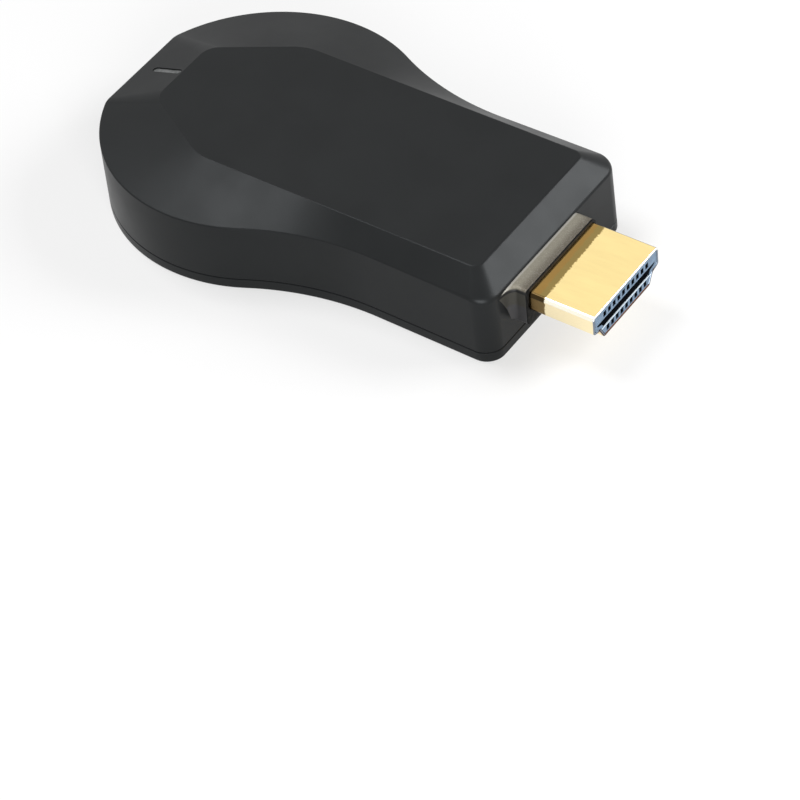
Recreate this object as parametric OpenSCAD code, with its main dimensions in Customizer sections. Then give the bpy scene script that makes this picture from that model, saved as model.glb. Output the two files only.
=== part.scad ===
// Wireless display stick: a flat case with a round tail, a display plug on its neck,
// a power socket in its flat end and a function button on its flank.
// All sizes are in millimetres. Inside the modules the front face lies at X = 0,
// the plug points along +X, and the underside lies at Z = 0.

/* [Case] */
// Length of the case from its front face to its flat end
case_l = 60; // [56:0.5:70]
// Height of the case from its underside to its top plate
case_h = 11.75; // [11:0.05:14]
// Height of the edge between the side wall and the sloped top
rim_h = 9.6; // [9.4:0.05:10.4]
// Height of the same edge along the front face
front_rim_h = 9.25; // [9.2:0.05:10]
// Height of the seam between the two covers
seam_h = 1.4; // [1.2:0.05:1.8]
// Open gap of the seam
seam_gap = 0.1; // [0.05:0.01:0.2]
// Width of the neck at the front face
neck_w = 28.5; // [27.5:0.1:31]
// Width that the flanks taper to beside the centre of the round end
waist_w = 27.4; // [26.5:0.1:28.5]
// Diameter of the round end
round_d = 39.7; // [38:0.1:44]
// Width of the flat end between its two corners
flat_w = 13.9; // [11:0.1:16]
// Radius of the hollow curve between a flank and the round end
blend_r = 35.3; // [25:0.1:45]
// Radius of the two front corners
front_r = 2.4; // [1.8:0.1:3]
// Radius of the two corners at the flat end
back_r = 2.9; // [1.8:0.1:4]
// Distance that the front face leans out from its rim down to the underside
front_lean = 0.4; // [0:0.05:0.6]
// Radius of the edge round the underside
base_edge = 0.3; // [0.2:0.05:0.9]
// Thickness of the walls
wall = 1.4; // [1.2:0.05:1.6]

/* [Top plate] */
// Distance from the front face to the flat plate
plate_front = 2.9; // [2.4:0.1:4]
// Width of the flat plate
plate_w = 22.5; // [20:0.1:23.5]
// Distance from the plate's side corners to the flat end
plate_side = 17.2; // [15:0.1:20]
// Distance from the plate's back edge to the flat end
plate_back = 6.7; // [6.5:0.1:8]
// Width of the plate's back edge
plate_back_w = 10.5; // [8:0.1:13]
// Radius of the plate's front corners
plate_front_r = 1.3; // [1:0.1:2]
// Radius of the plate's side corners
plate_side_r = 6.5; // [4:0.1:8]
// Radius of the plate's back corners
plate_back_r = 2.6; // [1.5:0.1:3.5]

/* [Display plug] */
// Width of the plug's shell
plug_w = 13.9; // [13.8:0.01:14]
// Height of the plug's shell
plug_h = 4.45; // [4.4:0.01:4.5]
// Height of the upright sides of the shell
plug_side_h = 2.65; // [2.5:0.05:2.8]
// Distance that each shoulder comes in from its side
plug_shoulder_in = 1.25; // [1:0.05:1.5]
// Fall of each shoulder
plug_shoulder_fall = 0.3; // [0.1:0.05:0.5]
// Distance that each lower corner comes in from its shoulder
plug_base_in = 0.8; // [0.5:0.05:1]
// Distance from the front face to the plug's tip
plug_out = 11.05; // [10:0.05:12]
// Length of the shell inside the case
plug_in = 6; // [5:0.1:7]
// Height of the middle of the plug above the middle of the case
plug_rise = 0.525; // [0.4:0.025:0.8]
// Offset of the plug from the middle of the case
plug_y = -2.2; // [-3:0.1:3]
// Thickness of the shell's metal
shell_t = 0.3; // [0.25:0.01:0.35]
// Corner radius of the shell
shell_r = 0.45; // [0.4:0.05:0.6]
// Distance that the insulator stands back from the tip
insulator_back = 0.05; // [0.05:0.05:0.6]
// Thickness of the insulator beside the cavity
cavity_wall = 0.4; // [0.3:0.05:0.8]
// Height of the cavity
cavity_h = 1.1; // [0.9:0.05:1.15]
// Depth of the cavity
cavity_d = 8; // [6:0.1:9]
// Depth of the cavity's roof below the shell's top face
cavity_roof = 1.75; // [1.65:0.05:1.8]
// Distance from one contact to the next
contact_pitch = 1; // [0.9:0.05:1]
// Width of a contact
contact_w = 0.36; // [0.3:0.01:0.4]
// Thickness of a contact
contact_t = 0.2; // [0.15:0.01:0.22]
// Width of the slot that holds a contact
slot_w = 0.58; // [0.45:0.01:0.6]
// Height of an upper slot
upper_slot_h = 0.8; // [0.5:0.05:0.8]
// Height of a lower slot
lower_slot_h = 0.8; // [0.5:0.05:0.8]
// Depth of the upper slots' middle below the shell's top face
upper_slot_deep = 1.1; // [1:0.05:1.15]
// Height of the lower slots' middle above the shell's lower face
lower_slot_high = 0.9; // [0.85:0.025:1]

/* [Plug collar] */
// Thickness of the collar round the shell
collar_t = 0.39; // [0.3:0.01:0.45]
// Distance that the collar stands out of the front face
collar_out = 2.2; // [1.5:0.1:3]
// Corner radius of the collar
collar_r = 0.8; // [0.6:0.05:0.9]
// Height of the collar's flange inside the case
flange_h = 0.6; // [0.4:0.05:0.7]
// Thickness of that flange
flange_t = 1.4; // [0.8:0.1:2]
// Thickness of the black seal at the collar's mouth
seal_t = 0.25; // [0.15:0.01:0.4]
// Distance that the seal stands proud of the collar
seal_proud = 0.12; // [0.05:0.01:0.2]

/* [Board] */
// Thickness of the circuit board
board_t = 1; // [0.8:0.05:1.2]
// Gap between the board's edge and the wall
board_gap = 0.5; // [0.3:0.05:0.8]
// Distance from the front face to the board's front edge
board_front = 8.5; // [8:0.1:9.5]
// Diameter of a screw's shank
screw_d = 1.6; // [1.4:0.05:1.8]
// Length of a screw under its head
screw_l = 4.2; // [3.5:0.1:4.8]
// Diameter of a screw's head
screw_head_d = 3; // [2.6:0.1:3.2]
// Height of a screw's head
screw_head_h = 0.9; // [0.7:0.05:1.1]
// Diameter of the posts that carry the board
post_d = 4; // [3.4:0.1:4.4]

/* [Power socket] */
// Width of the socket's shell
socket_w = 7.5; // [7.2:0.05:7.8]
// Height of the socket's shell
socket_h = 2.5; // [2.3:0.05:2.6]
// Length of the socket's shell
socket_l = 5.2; // [5:0.1:5.6]
// Distance that its mouth lies inside the flat end
socket_back = 0.8; // [0.5:0.05:1.2]
// Chamfer of its two lower corners
socket_chamfer = 0.9; // [0.7:0.05:1]
// Thickness of its metal
socket_t = 0.25; // [0.2:0.01:0.3]
// Height of the flared lip round its mouth
socket_lip = 0.25; // [0.15:0.01:0.3]
// Width of the tongue
tongue_w = 3.6; // [3.4:0.05:3.8]
// Thickness of the tongue
tongue_t = 0.6; // [0.5:0.05:0.7]
// Length of the tongue
tongue_l = 3.2; // [2.8:0.1:3.4]

/* [Function button] */
// Distance from the front face to the middle of the button
button_x = 12; // [11.6:0.1:12.4]
// Length of the button along the flank
button_l = 4; // [3:0.1:4.2]
// Height of the button
button_h = 1.5; // [1.2:0.05:1.6]
// Distance that the button stands out of the flank
button_proud = 0.45; // [0.35:0.05:0.6]
// Travel of the button
button_travel = 0.25; // [0.2:0.01:0.3]
// Length of the switch along the board's edge
switch_l = 4.6; // [4.4:0.1:4.8]
// Depth of the switch from front to back
switch_d = 3; // [2.8:0.1:3.4]
// Height of the switch below the board
switch_h = 2.2; // [2.1:0.05:2.3]

/* [Status light] */
// Length of the light window along the sloped top
window_l = 4.4; // [3.6:0.1:4.6]
// Width of the light window
window_w = 0.85; // [0.7:0.05:1.1]
// Distance from the flat end to the middle of the window
window_x = 4.3; // [4.2:0.05:4.6]
// Depth of the light pipe's face below the top
window_back = 0.15; // [0.1:0.01:0.3]

/* [Hidden] */

// Smoothness of round things
$fn = 48;
// Steps along each stretch of the case's outline
corner_n = 6;
flank_n = 5;
blend_n = 10;
side_n = 8;
turn_n = 8;
oblique_n = 16;
back_n = 5;
edge_n = 3;
fillet_n = 5;

// Amount by which cuts run past what they cut, and by which joined shapes overlap
overrun = 0.2;
// Clearance of a sliding or seated fit, on each side
slip = 0.05;
// Smallest radius that an outline keeps when it is drawn in
tiny_r = 0.2;
// Share of the plate's side turn over which the rim follows it
turn_share = 0.78;

// Colours
case_black = [0.17, 0.17, 0.17];
gold = [0.95, 0.78, 0.42];
satin_nickel = [0.5, 0.48, 0.42];
seal_black = [0.03, 0.03, 0.03];
insulator_blue = [0.38, 0.5, 0.62];
contact_gold = [0.8, 0.62, 0.3];
board_green = [0.05, 0.3, 0.14];
steel = [0.75, 0.75, 0.76];
chip_black = [0.08, 0.08, 0.09];
ceramic_tan = [0.66, 0.55, 0.4];
pad_grey = [0.6, 0.62, 0.68];
lamp_clear = [0.8, 0.85, 0.9];

// The neck's flanks taper towards the waist, then a hollow arc joins the round end
mid_x = (case_l - plug_out) / 2;
round_x = case_l - sqrt(round_d * round_d - flat_w * flat_w) / 2;
taper = atan((neck_w - waist_w) / 2 / round_x);
along = [cos(taper), sin(taper)];
across = [-sin(taper), cos(taper)];
round_c = [-round_x, 0];
blend_v = [0, neck_w / 2] + across * blend_r - round_c;
blend_dot = blend_v * along;
blend_far = round_d / 2 + blend_r;
blend_run = blend_dot - sqrt(blend_dot * blend_dot - blend_v * blend_v + blend_far * blend_far);
blend_c = round_c + blend_v - along * blend_run;
join_a = atan2(blend_c.y, blend_c.x + round_x);
blend_x = across.x * blend_r - blend_c.x;

// Corners of the top plate, on its +Y side
plate_side_x = case_l - plate_side;
plate_back_x = case_l - plate_back;
plate_turn = atan2((plate_w - plate_back_w) / 2, plate_back_x - plate_side_x);
side_a = acos((round_x - plate_side_x + plate_side_r * tan(plate_turn / 2)) / (round_d / 2));
turn_a = side_a + plate_turn * turn_share;

// The sloped top keeps the wall's thickness: how far its inner edges move
slope_a = atan2(case_h - rim_h, (neck_w - plate_w) / 2);
inner_drop = wall * (1 / cos(slope_a) - tan(slope_a));
inner_set = wall * (1 / cos(slope_a) - 1) / tan(slope_a);

// Cover fit
lip_t = 1;
lip_h = 1.2;
snap_l = 5;
snap_h = 0.6;
snap_out = 0.3;
snap_z = seam_h + lip_h / 2;
snap_front = 7.2;
snap_places = [[-snap_front, flank_at(snap_front)], [-round_x, round_d / 2]];
label_l = 30;
label_w = 20;
label_t = 0.12;
label_deep = 0.2;

// Board levels, and the places across it as shares of its half width, or in the round end
// as shares of the hold-down posts' distance from its middle
plug_z = case_h / 2 + plug_rise;
board_z = plug_z - board_t / 2;
board_top = plug_z + board_t / 2;
board_half = neck_w / 2 - wall - board_gap;
surge_shares = [-0.42, 0.08];
front_capacitor_shares = [-0.6, -0.36, -0.12, 0.12, 0.36, 0.6];
back_capacitor_shares = [-0.3, -0.1, 0.1, 0.3];
flash_share = 0.565;
crystal_share = -0.55;
resistor_shares = [-0.46, -0.27, 0.27, 0.46];
below_shares = [-0.5, 0.5];

// The front screws stand behind the switch, the back ones on a circle in the round end
screw_inset = 4.7;
screw_gap = 0.6;
screw_turn = 123;
screw_places = [
    [-button_x - switch_l / 2 - screw_gap - post_d / 2, neck_w / 2 - screw_inset],
    round_c + (round_d / 2 - screw_inset) * [cos(screw_turn), sin(screw_turn)]
];
hold_inset = 6.3;
hold_place = [-round_x, round_d / 2 - hold_inset];

// Sizes of the pieces on the board
processor_w = 12;
processor_h = 1.2;
pad_set = 0.5;
pad_w = processor_w - 2 * pad_set;
pad_t = 0.4;
sink_set = 1;
sink_w = processor_w + 2 * sink_set;
sink_base = 0.7;
sink_fins = 6;
sink_gap = 0.15;
fin_t = 0.8;
memory_l = 9;
memory_w = 11;
memory_h = 1;
flash_l = 5;
flash_w = 4;
flash_h = 1.5;
flash_legs = 4;
crystal_l = 3.2;
crystal_w = 2.5;
crystal_h = 0.75;
surge_l = 1;
surge_w = 2.5;
surge_h = 0.6;
chip_l = 1;
chip_w = 1.6;
chip_h = 0.8;
inductor_w = 4;
inductor_h = 2;
regulator_l = 1.6;
regulator_w = 2.9;
regulator_h = 1.1;
bulk_l = 2.8;
bulk_w = 3.5;
bulk_h = 1.9;
leg_w = 0.4;
leg_t = 0.2;
leg_l = 0.8;
post_bore_d = screw_d + 2 * slip;
hold_d = 2;
cross_w = 0.35;
cross_l = 1.8;
cross_d = 0.45;
screw_hole_gap = 0.2;

// Plug details inside the case: legs and contact tails rest on the board
insulator_short = 1;
insulator_in = plug_in - insulator_short;
tail_on_board = 1.5;
tail_x = -plug_in - slip;
tail_l = board_front + tail_on_board + tail_x;
leg_on_board = 2;
plug_leg_w = 1;
plug_leg_l = board_front + leg_on_board - insulator_in;
contact_back = 1.3;
plug_shoulder_w = plug_w - 2 * plug_shoulder_in;
plug_base_w = plug_shoulder_w - 2 * plug_base_in;
cavity_z = plug_z + plug_h / 2 - cavity_roof - cavity_h / 2;
upper_slot_z = plug_z + plug_h / 2 - upper_slot_deep;
lower_slot_z = plug_z - plug_h / 2 + lower_slot_high;
// Contacts that fit side by side above the shell's lower face; the upper row has one more
lower_count = floor((plug_base_w - 2 * (shell_t + slip)) / contact_pitch);
upper_count = lower_count + 1;

// Rows of pieces on the board, evenly spread from the plug's legs to the socket
surge_row = 0;
memory_row = 1;
front_capacitor_row = 2;
processor_row = 3;
back_capacitor_row = 4;
flash_row = 5;
resistor_row = 6;
row_lengths = [surge_l, memory_l, chip_l, processor_w, chip_l, flash_l, chip_l];
row_room = case_l - socket_back - socket_l - board_front - leg_on_board;
row_gap = (row_room - row_lengths * [for (l = row_lengths) 1]) / (len(row_lengths) + 1);

// Socket details
socket_top = board_z;
socket_mid = socket_top - socket_h / 2;
socket_mouth = -case_l + socket_back;
socket_gap = 0.1;
socket_r = 0.3;
tongue_block = 1.3;
socket_pins = 5;
pin_pitch = 0.65;
pin_w = 0.25;
pin_t = 0.1;

// Switch and button levels, from the wall inwards
button_low = 0.2;
button_z = board_z - switch_h / 2 - button_low;
button_gap = 0.15;
rest_gap = 0.1;
button_flange_t = 0.6;
button_flange_end = 0.7;
button_flange_edge = 0.15;
button_flange_l = button_l + 2 * button_flange_end;
button_flange_h = button_h + 2 * button_flange_edge;
plunger_spare = 0.45;
plunger_out = button_travel + plunger_spare;
plunger_in = 0.9;
plunger_l = 1.8;
plunger_h = 0.9;
plunger_gap = 0.1;
dome_r = 0.45;
dome_t = 0.08;
dome_h = 0.18;
dome_gap = 0.17;
pocket_d = plunger_in + button_travel + dome_gap + dome_h;
cover_t = 0.15;
flank_in = min([for (side = [-1, 1]) flank_at(button_x + side * button_flange_l / 2)]) - wall;
flange_face = flank_in - rest_gap;
plunger_tip = flange_face - button_flange_t;
switch_face = plunger_tip - plunger_out;

// Status light
light_l = 1.6;
light_w = 0.8;
light_h = 0.6;
light_x = -case_l + window_x;
pipe_gap = 0.3;
pipe_flange_t = 0.6;
pipe_flange = 0.4;
pipe_neck = 1.2;

// General outline functions
function unit(v) = v / norm(v);
function flip(points) = [for (i = [len(points) - 1:-1:0]) [points[i].x, -points[i].y]];
function steps(from, to, n) = [for (i = [1:n]) from + (to - from) * i / n];
function arc(c, r, from, to, n) = [for (a = steps(from, to, n)) c + r * [cos(a), sin(a)]];
function at(points, i) = points[(i + len(points)) % len(points)];

// Rounds the corner at b, between a and c
function fillet(a, b, c, r, n) =
    let (
        u = unit(a - b),
        v = unit(c - b),
        half = acos(u * v) / 2,
        o = b + unit(u + v) * r / sin(half),
        p = b + u * r / tan(half) - o,
        start = atan2(p.y, p.x),
        turn = sign(cross(b - a, c - b)) * (180 - 2 * half)
    )
    [for (i = [0:n]) o + r * [cos(start + turn * i / n), sin(start + turn * i / n)]];

// Moves every side of a polygon outwards by m, inwards where m is negative
function grown(points, m) = [
    for (i = [0:len(points) - 1])
        let (
            e = unit(points[i] - at(points, i - 1)),
            f = unit(at(points, i + 1) - points[i]),
            en = [e.y, -e.x],
            fn = [f.y, -f.x]
        )
        points[i] + (en + fn) * m / (1 + en * fn)
];
function rounded(points, r, n) = [
    for (i = [0:len(points) - 1]) each fillet(at(points, i - 1), points[i], at(points, i + 1), r, n)
];

// Half width of the case at a distance behind the front face, up to the round end
function flank_at(x) = x < blend_x
    ? neck_w / 2 - x * tan(taper)
    : blend_c.y - sqrt(blend_r * blend_r - (x + blend_c.x) * (x + blend_c.x));

// Outline of the case on its +Y side, from the front face to the flat end, drawn in by d
function half_case(d) =
    let (
        fr = max(front_r - d, tiny_r),
        fx = -d - fr,
        fy = neck_w / 2 - (d + fr) / cos(taper) + fx * tan(taper),
        rr = round_d / 2 - d,
        br = max(back_r - d, tiny_r),
        bx = round_x - case_l + d + br,
        by = sqrt((rr - br) * (rr - br) - bx * bx),
        back_a = atan2(by, bx),
        corner = [fx, fy],
        flank_start = corner + fr * across,
        flank_end = blend_c - across * (blend_r + d)
    )
    concat(
        [corner + [fr, 0]],
        arc(corner, fr, 0, 90 + taper, corner_n),
        steps(flank_start, flank_end, flank_n),
        arc(blend_c, blend_r + d, 270 + taper, 180 + join_a, blend_n),
        arc(round_c, rr, join_a, side_a, side_n),
        arc(round_c, rr, side_a, turn_a, turn_n),
        arc(round_c, rr, turn_a, back_a, oblique_n),
        arc(round_c + [bx, by], br, back_a, 180, back_n)
    );
function case_outline(d) = let (half = half_case(d)) concat(half, flip(half));

// Outline of the top plate with one point for each point of the case's outline
function half_plate(d) =
    let (
        a = [-plate_front - d, 0],
        b = [-plate_front - d, plate_w / 2 - d],
        c = [-plate_side_x, plate_w / 2 - d],
        e = [-plate_back_x + d, plate_back_w / 2 - d * tan(45 - plate_turn / 2)],
        f = [-plate_back_x + d, 0],
        front = fillet(a, b, c, plate_front_r, corner_n),
        side = fillet(b, c, e, plate_side_r, turn_n),
        back = fillet(c, e, f, plate_back_r, back_n),
        rim = half_case(0),
        first = front[corner_n],
        last = side[0],
        run = corner_n + flank_n + blend_n + side_n
    )
    concat(
        front,
        [for (i = [corner_n + 1:run])
            first + (last - first) * (rim[i].x - rim[corner_n].x) / (rim[run].x - rim[corner_n].x)],
        [for (i = [1:turn_n]) side[i]],
        steps(side[turn_n], back[0], oblique_n),
        [for (i = [1:back_n]) back[i]]
    );
function plate_outline(d) = let (half = half_plate(d)) concat(half, flip(half));

// Rings of points at a height; below the rim the neck grows longer, so that the front face leans out,
// and the rim falls towards the front face over the corners
function level(points, z) = [for (p = points) [p.x, p.y, z]];
function lean_ring(d, z) =
    let (reach = front_lean * (1 - z / front_rim_h))
    [for (p = case_outline(d)) [p.x + reach * max(0, 1 + p.x / round_x), p.y, z]];
function rim_ring(d, drop) =
    let (
        half = half_case(d),
        n = len(half),
        heights = [for (i = [0:n - 1]) front_rim_h + (rim_h - front_rim_h) * min(i / corner_n, 1) - drop]
    )
    concat(
        [for (i = [0:n - 1]) [half[i].x, half[i].y, heights[i]]],
        [for (i = [n - 1:-1:0]) [half[i].x, -half[i].y, heights[i]]]
    );

// Solid skin through rings of equally many points, whose halves mirror each other in Y
module loft(rings) {
    n = len(rings[0]);
    top = (len(rings) - 1) * n;
    polyhedron(
        points = [for (r = rings) each r],
        faces = concat(
            [for (i = [0:n / 2 - 2]) [i, i + 1, n - 2 - i, n - 1 - i]],
            [for (i = [0:n / 2 - 2]) [top + n - 1 - i, top + n - 2 - i, top + i + 1, top + i]],
            [for (k = [0:n:top - 1], i = [0:n - 1]) [k + i, k + n + i, k + n + (i + 1) % n]],
            [for (k = [0:n:top - 1], i = [0:n - 1]) [k + i, k + n + (i + 1) % n, k + (i + 1) % n]]
        )
    );
}

// Placing helpers
module placed() translate([mid_x, 0, 0]) children();
// A profile drawn in Y and Z, run along X between two places
module run_x(from, to) translate([from, 0, 0]) rotate([90, 0, 90]) linear_extrude(to - from) children();
module box(size, middle) translate(middle) cube(size, center = true);
// A block whose lower face is centred on a place
module block(size, foot) translate(foot + [0, 0, size.z / 2]) cube(size, center = true);
// Middle of a row along the board, and places on top of the board and below it
function row_x(i) = -board_front - leg_on_board - (i + 1) * row_gap
    - row_lengths * [for (k = [0:len(row_lengths) - 1]) k < i ? 1 : k == i ? 1 / 2 : 0];
function on_board(row, share) =
    [row_x(row), share * (row < flash_row ? board_half : hold_place.y), board_top];
function under_board(row, share, h) = [row_x(row), share * board_half, board_z - h];
module at_screws() {
    for (place = screw_places, side = [-1, 1]) translate([place.x, side * place.y, 0]) children();
}

// Profile of the plug in Y and Z
plug_points = [
    [plug_w / 2, plug_h / 2],
    [-plug_w / 2, plug_h / 2],
    [-plug_w / 2, plug_h / 2 - plug_side_h],
    [-plug_shoulder_w / 2, plug_h / 2 - plug_side_h - plug_shoulder_fall],
    [-plug_base_w / 2, -plug_h / 2],
    [plug_base_w / 2, -plug_h / 2],
    [plug_shoulder_w / 2, plug_h / 2 - plug_side_h - plug_shoulder_fall],
    [plug_w / 2, plug_h / 2 - plug_side_h]
];
module plug_profile(m, r) translate([plug_y, plug_z]) polygon(rounded(grown(plug_points, m), r, fillet_n));

// Profile of the collar: the upright rectangle that holds the plug, grown on all sides
collar_points = [
    [plug_w / 2, plug_h / 2],
    [-plug_w / 2, plug_h / 2],
    [-plug_w / 2, -plug_h / 2],
    [plug_w / 2, -plug_h / 2]
];
module collar_profile(m) translate([plug_y, plug_z])
    polygon(rounded(grown(collar_points, slip + collar_t + m), collar_r, fillet_n));

// Profile of the power socket in Y and Z, its chamfers facing down
module socket_profile(m) {
    points = [
        [socket_w / 2, socket_h / 2],
        [-socket_w / 2, socket_h / 2],
        [-socket_w / 2, -socket_h / 2 + socket_chamfer],
        [-socket_w / 2 + socket_chamfer, -socket_h / 2],
        [socket_w / 2 - socket_chamfer, -socket_h / 2],
        [socket_w / 2, -socket_h / 2 + socket_chamfer]
    ];
    translate([0, socket_mid]) polygon(rounded(grown(points, m), socket_r, fillet_n));
}

// Slot with round ends, drawn along X
module slot(l, w) {
    square([l - w, w], center = true);
    for (side = [-1, 1]) translate([side * (l - w) / 2, 0]) circle(d = w);
}

module snap_boxes(l, h, out, reach) {
    for (place = snap_places, side = [-1, 1]) {
        box([l, out + reach, h], [place.x, side * (place.y - wall - slip + (out - reach) / 2), snap_z]);
    }
}

module top_cover() placed() color(case_black) {
    difference() {
        loft([lean_ring(0, seam_h + seam_gap), rim_ring(0, 0), level(plate_outline(0), case_h)]);
        loft([
            level(case_outline(wall), seam_h + seam_gap - overrun),
            rim_ring(wall, inner_drop),
            level(plate_outline(inner_set), case_h - wall)
        ]);
        run_x(-wall - flange_t - 2 * slip, front_lean + overrun) collar_profile(slip);
        run_x(-case_l - overrun, -case_l + wall + overrun) socket_profile(socket_lip + socket_gap);
        translate([-button_x, flank_in - overrun, button_z]) rotate([-90, 0, 0])
            linear_extrude(round_d) slot(button_l + 2 * button_gap, button_h + 2 * button_gap);
        translate([light_x, 0, board_top]) linear_extrude(case_h) slot(window_l, window_w);
        snap_boxes(snap_l + 2 * slip, snap_h + 2 * slip, snap_out + slip, overrun);
    }
    for (side = [-1, 1]) translate([hold_place.x, side * hold_place.y, board_top + slip])
        cylinder(d = hold_d, h = case_h - wall - board_top - slip);
}

module bottom_cover() placed() color(case_black) difference() {
    union() {
        loft(concat(
            [for (i = [0:edge_n]) let (a = 90 * i / edge_n)
                lean_ring(base_edge * (1 - sin(a)), base_edge * (1 - cos(a)))],
            [lean_ring(0, seam_h)]
        ));
        translate([0, 0, seam_h - overrun]) linear_extrude(lip_h + overrun) difference() {
            polygon(case_outline(wall + slip));
            polygon(case_outline(wall + slip + lip_t));
        }
        snap_boxes(snap_l, snap_h, snap_out, lip_t / 2);
        at_screws() translate([0, 0, seam_h - overrun])
            cylinder(d = post_d, h = board_z - seam_h + overrun);
    }
    at_screws() translate([0, 0, board_z - screw_l]) cylinder(d = post_bore_d, h = screw_l + overrun);
    box([label_l + 2 * slip, label_w + 2 * slip, 2 * label_deep], [-case_l / 2, 0, 0]);
}

module label_blank() placed() color("silver")
    block([label_l, label_w, label_t], [-case_l / 2, 0, label_deep - label_t]);

module plug_collar() placed() color(satin_nickel) difference() {
    union() {
        run_x(-wall - slip - flange_t, collar_out) collar_profile(0);
        intersection() {
            run_x(-wall - slip - flange_t, -wall - slip) collar_profile(flange_h);
            box([case_l, 2 * plug_w, plug_z], [0, plug_y, plug_z / 2]);
        }
    }
    run_x(-wall - flange_t - overrun, collar_out + overrun) plug_profile(slip, shell_r);
}

module collar_seal() placed() color(seal_black) run_x(collar_out, collar_out + seal_t) difference() {
    collar_profile(seal_proud);
    plug_profile(slip, shell_r);
}

module plug_shell() placed() color(gold) difference() {
    union() {
        run_x(-plug_in, plug_out) plug_profile(0, shell_r);
        for (side = [-1, 1]) {
            block(
                [plug_leg_l, plug_leg_w, shell_t],
                [-insulator_in - plug_leg_l / 2, plug_y + side * (plug_w - plug_leg_w) / 2, board_top]
            );
        }
    }
    run_x(-insulator_in - slip, plug_out + overrun) plug_profile(-shell_t, shell_r);
    box(
        [2 * insulator_short, plug_w - 2 * plug_leg_w, plug_h - 2 * shell_t],
        [-plug_in, plug_y, plug_z]
    );
}

module contact_slots(count, z, h) {
    for (i = [0:count - 1]) {
        y = plug_y + (i - (count - 1) / 2) * contact_pitch;
        box([2 * plug_out + 2 * plug_in, slot_w, h], [0, y, z]);
    }
}

module plug_insulator() placed() color(insulator_blue) difference() {
    run_x(-insulator_in, plug_out - insulator_back) plug_profile(-shell_t - slip, shell_r);
    contact_slots(upper_count, upper_slot_z, upper_slot_h);
    contact_slots(lower_count, lower_slot_z, lower_slot_h);
    intersection() {
        run_x(plug_out - insulator_back - cavity_d, plug_out)
            plug_profile(-shell_t - slip - cavity_wall, shell_r);
        box([2 * plug_out, plug_w, cavity_h], [plug_out, plug_y, cavity_z]);
    }
}

// Contacts run through the insulator, bend to the board's face and end in a tail on it
module contacts(count, z, face, side) {
    front = plug_out - contact_back;
    for (i = [0:count - 1]) translate([0, plug_y + (i - (count - 1) / 2) * contact_pitch, 0]) {
        box([front - tail_x, contact_w, contact_t], [(front + tail_x) / 2, 0, z]);
        box(
            [contact_t, contact_w, abs(z - face) + contact_t / 2],
            [tail_x - contact_t / 2, 0, (z + face + side * contact_t / 2) / 2]
        );
        box([tail_l, contact_w, contact_t], [tail_x - tail_l / 2, 0, face + side * contact_t / 2]);
    }
}
module upper_contacts() placed() color(contact_gold)
    contacts(upper_count, upper_slot_z, board_top, 1);
module lower_contacts() placed() color(contact_gold)
    contacts(lower_count, lower_slot_z, board_z, -1);

module main_board() placed() color(board_green) translate([0, 0, board_z]) linear_extrude(board_t)
    difference() {
        polygon(case_outline(wall + board_gap));
        translate([-board_front, -neck_w]) square([board_front, 2 * neck_w]);
        at_screws() circle(d = screw_d + 2 * screw_hole_gap);
    }

module board_screws() placed() color(steel) at_screws() difference() {
    union() {
        translate([0, 0, board_top]) cylinder(d = screw_head_d, h = screw_head_h);
        translate([0, 0, board_z - screw_l + slip]) cylinder(d = screw_d, h = board_t + screw_l);
    }
    for (turn = [0, 90]) rotate(turn)
        box([cross_l, cross_w, 2 * cross_d], [0, 0, board_top + screw_head_h]);
}

module processor() placed() color(chip_black)
    block([processor_w, processor_w, processor_h], on_board(processor_row, 0));
module thermal_pad() placed() color(pad_grey)
    block([pad_w, pad_w, pad_t], on_board(processor_row, 0) + [0, 0, processor_h]);

module heat_sink() placed() color(steel) {
    foot = on_board(processor_row, 0) + [0, 0, processor_h + pad_t];
    sink_h = case_h - wall - sink_gap - foot.z;
    block([sink_w, sink_w, sink_base], foot);
    for (i = [0:sink_fins - 1]) {
        y = (i / (sink_fins - 1) - 1 / 2) * (sink_w - fin_t);
        block([sink_w, fin_t, sink_h], foot + [0, y, 0]);
    }
}

module memory_chip() placed() color(chip_black)
    block([memory_l, memory_w, memory_h], on_board(memory_row, 0));

// Legs along both sides of a chip, touching the board; up is 1 on top of the board and -1 below it
module legs(count, l, w, h, up) {
    for (i = [0:count - 1], side = [-1, 1]) {
        x = (i - (count - 1) / 2) * l / count;
        box([leg_w, leg_l, leg_t], [x, side * (w + leg_l) / 2, up * leg_t / 2]);
        box([leg_w, leg_t, h / 2], [x, side * (w + leg_t) / 2, up * h / 4]);
    }
}

module flash_chip() placed() color(chip_black) translate(on_board(flash_row, flash_share)) {
    block([flash_l, flash_w, flash_h - leg_t], [0, 0, leg_t]);
    legs(flash_legs, flash_l, flash_w - leg_t, flash_h, 1);
}

module clock_crystal() placed() color(steel)
    block([crystal_l, crystal_w, crystal_h], on_board(flash_row, crystal_share));

module surge_arrays() placed() color(chip_black)
    for (s = surge_shares) block([surge_l, surge_w, surge_h], on_board(surge_row, s));

module ceramic_capacitors() placed() color(ceramic_tan) {
    for (s = front_capacitor_shares) block([chip_l, chip_w, chip_h], on_board(front_capacitor_row, s));
    for (s = back_capacitor_shares) block([chip_l, chip_w, chip_h], on_board(back_capacitor_row, s));
}
module chip_resistors() placed() color(chip_black)
    for (s = resistor_shares) block([chip_l, chip_w, chip_h / 2], on_board(resistor_row, s));

module power_inductors() placed() color(pad_grey)
    for (s = below_shares) block(
        [inductor_w, inductor_w, inductor_h],
        under_board(front_capacitor_row, s, inductor_h)
    );

module regulators() placed() color(chip_black) for (s = below_shares) {
    block(
        [regulator_w, regulator_l, regulator_h - leg_t],
        under_board(processor_row, s, regulator_h)
    );
    translate(under_board(processor_row, s, 0))
        legs(flash_legs - 1, regulator_w, regulator_l - leg_t, regulator_h, -1);
}

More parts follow.
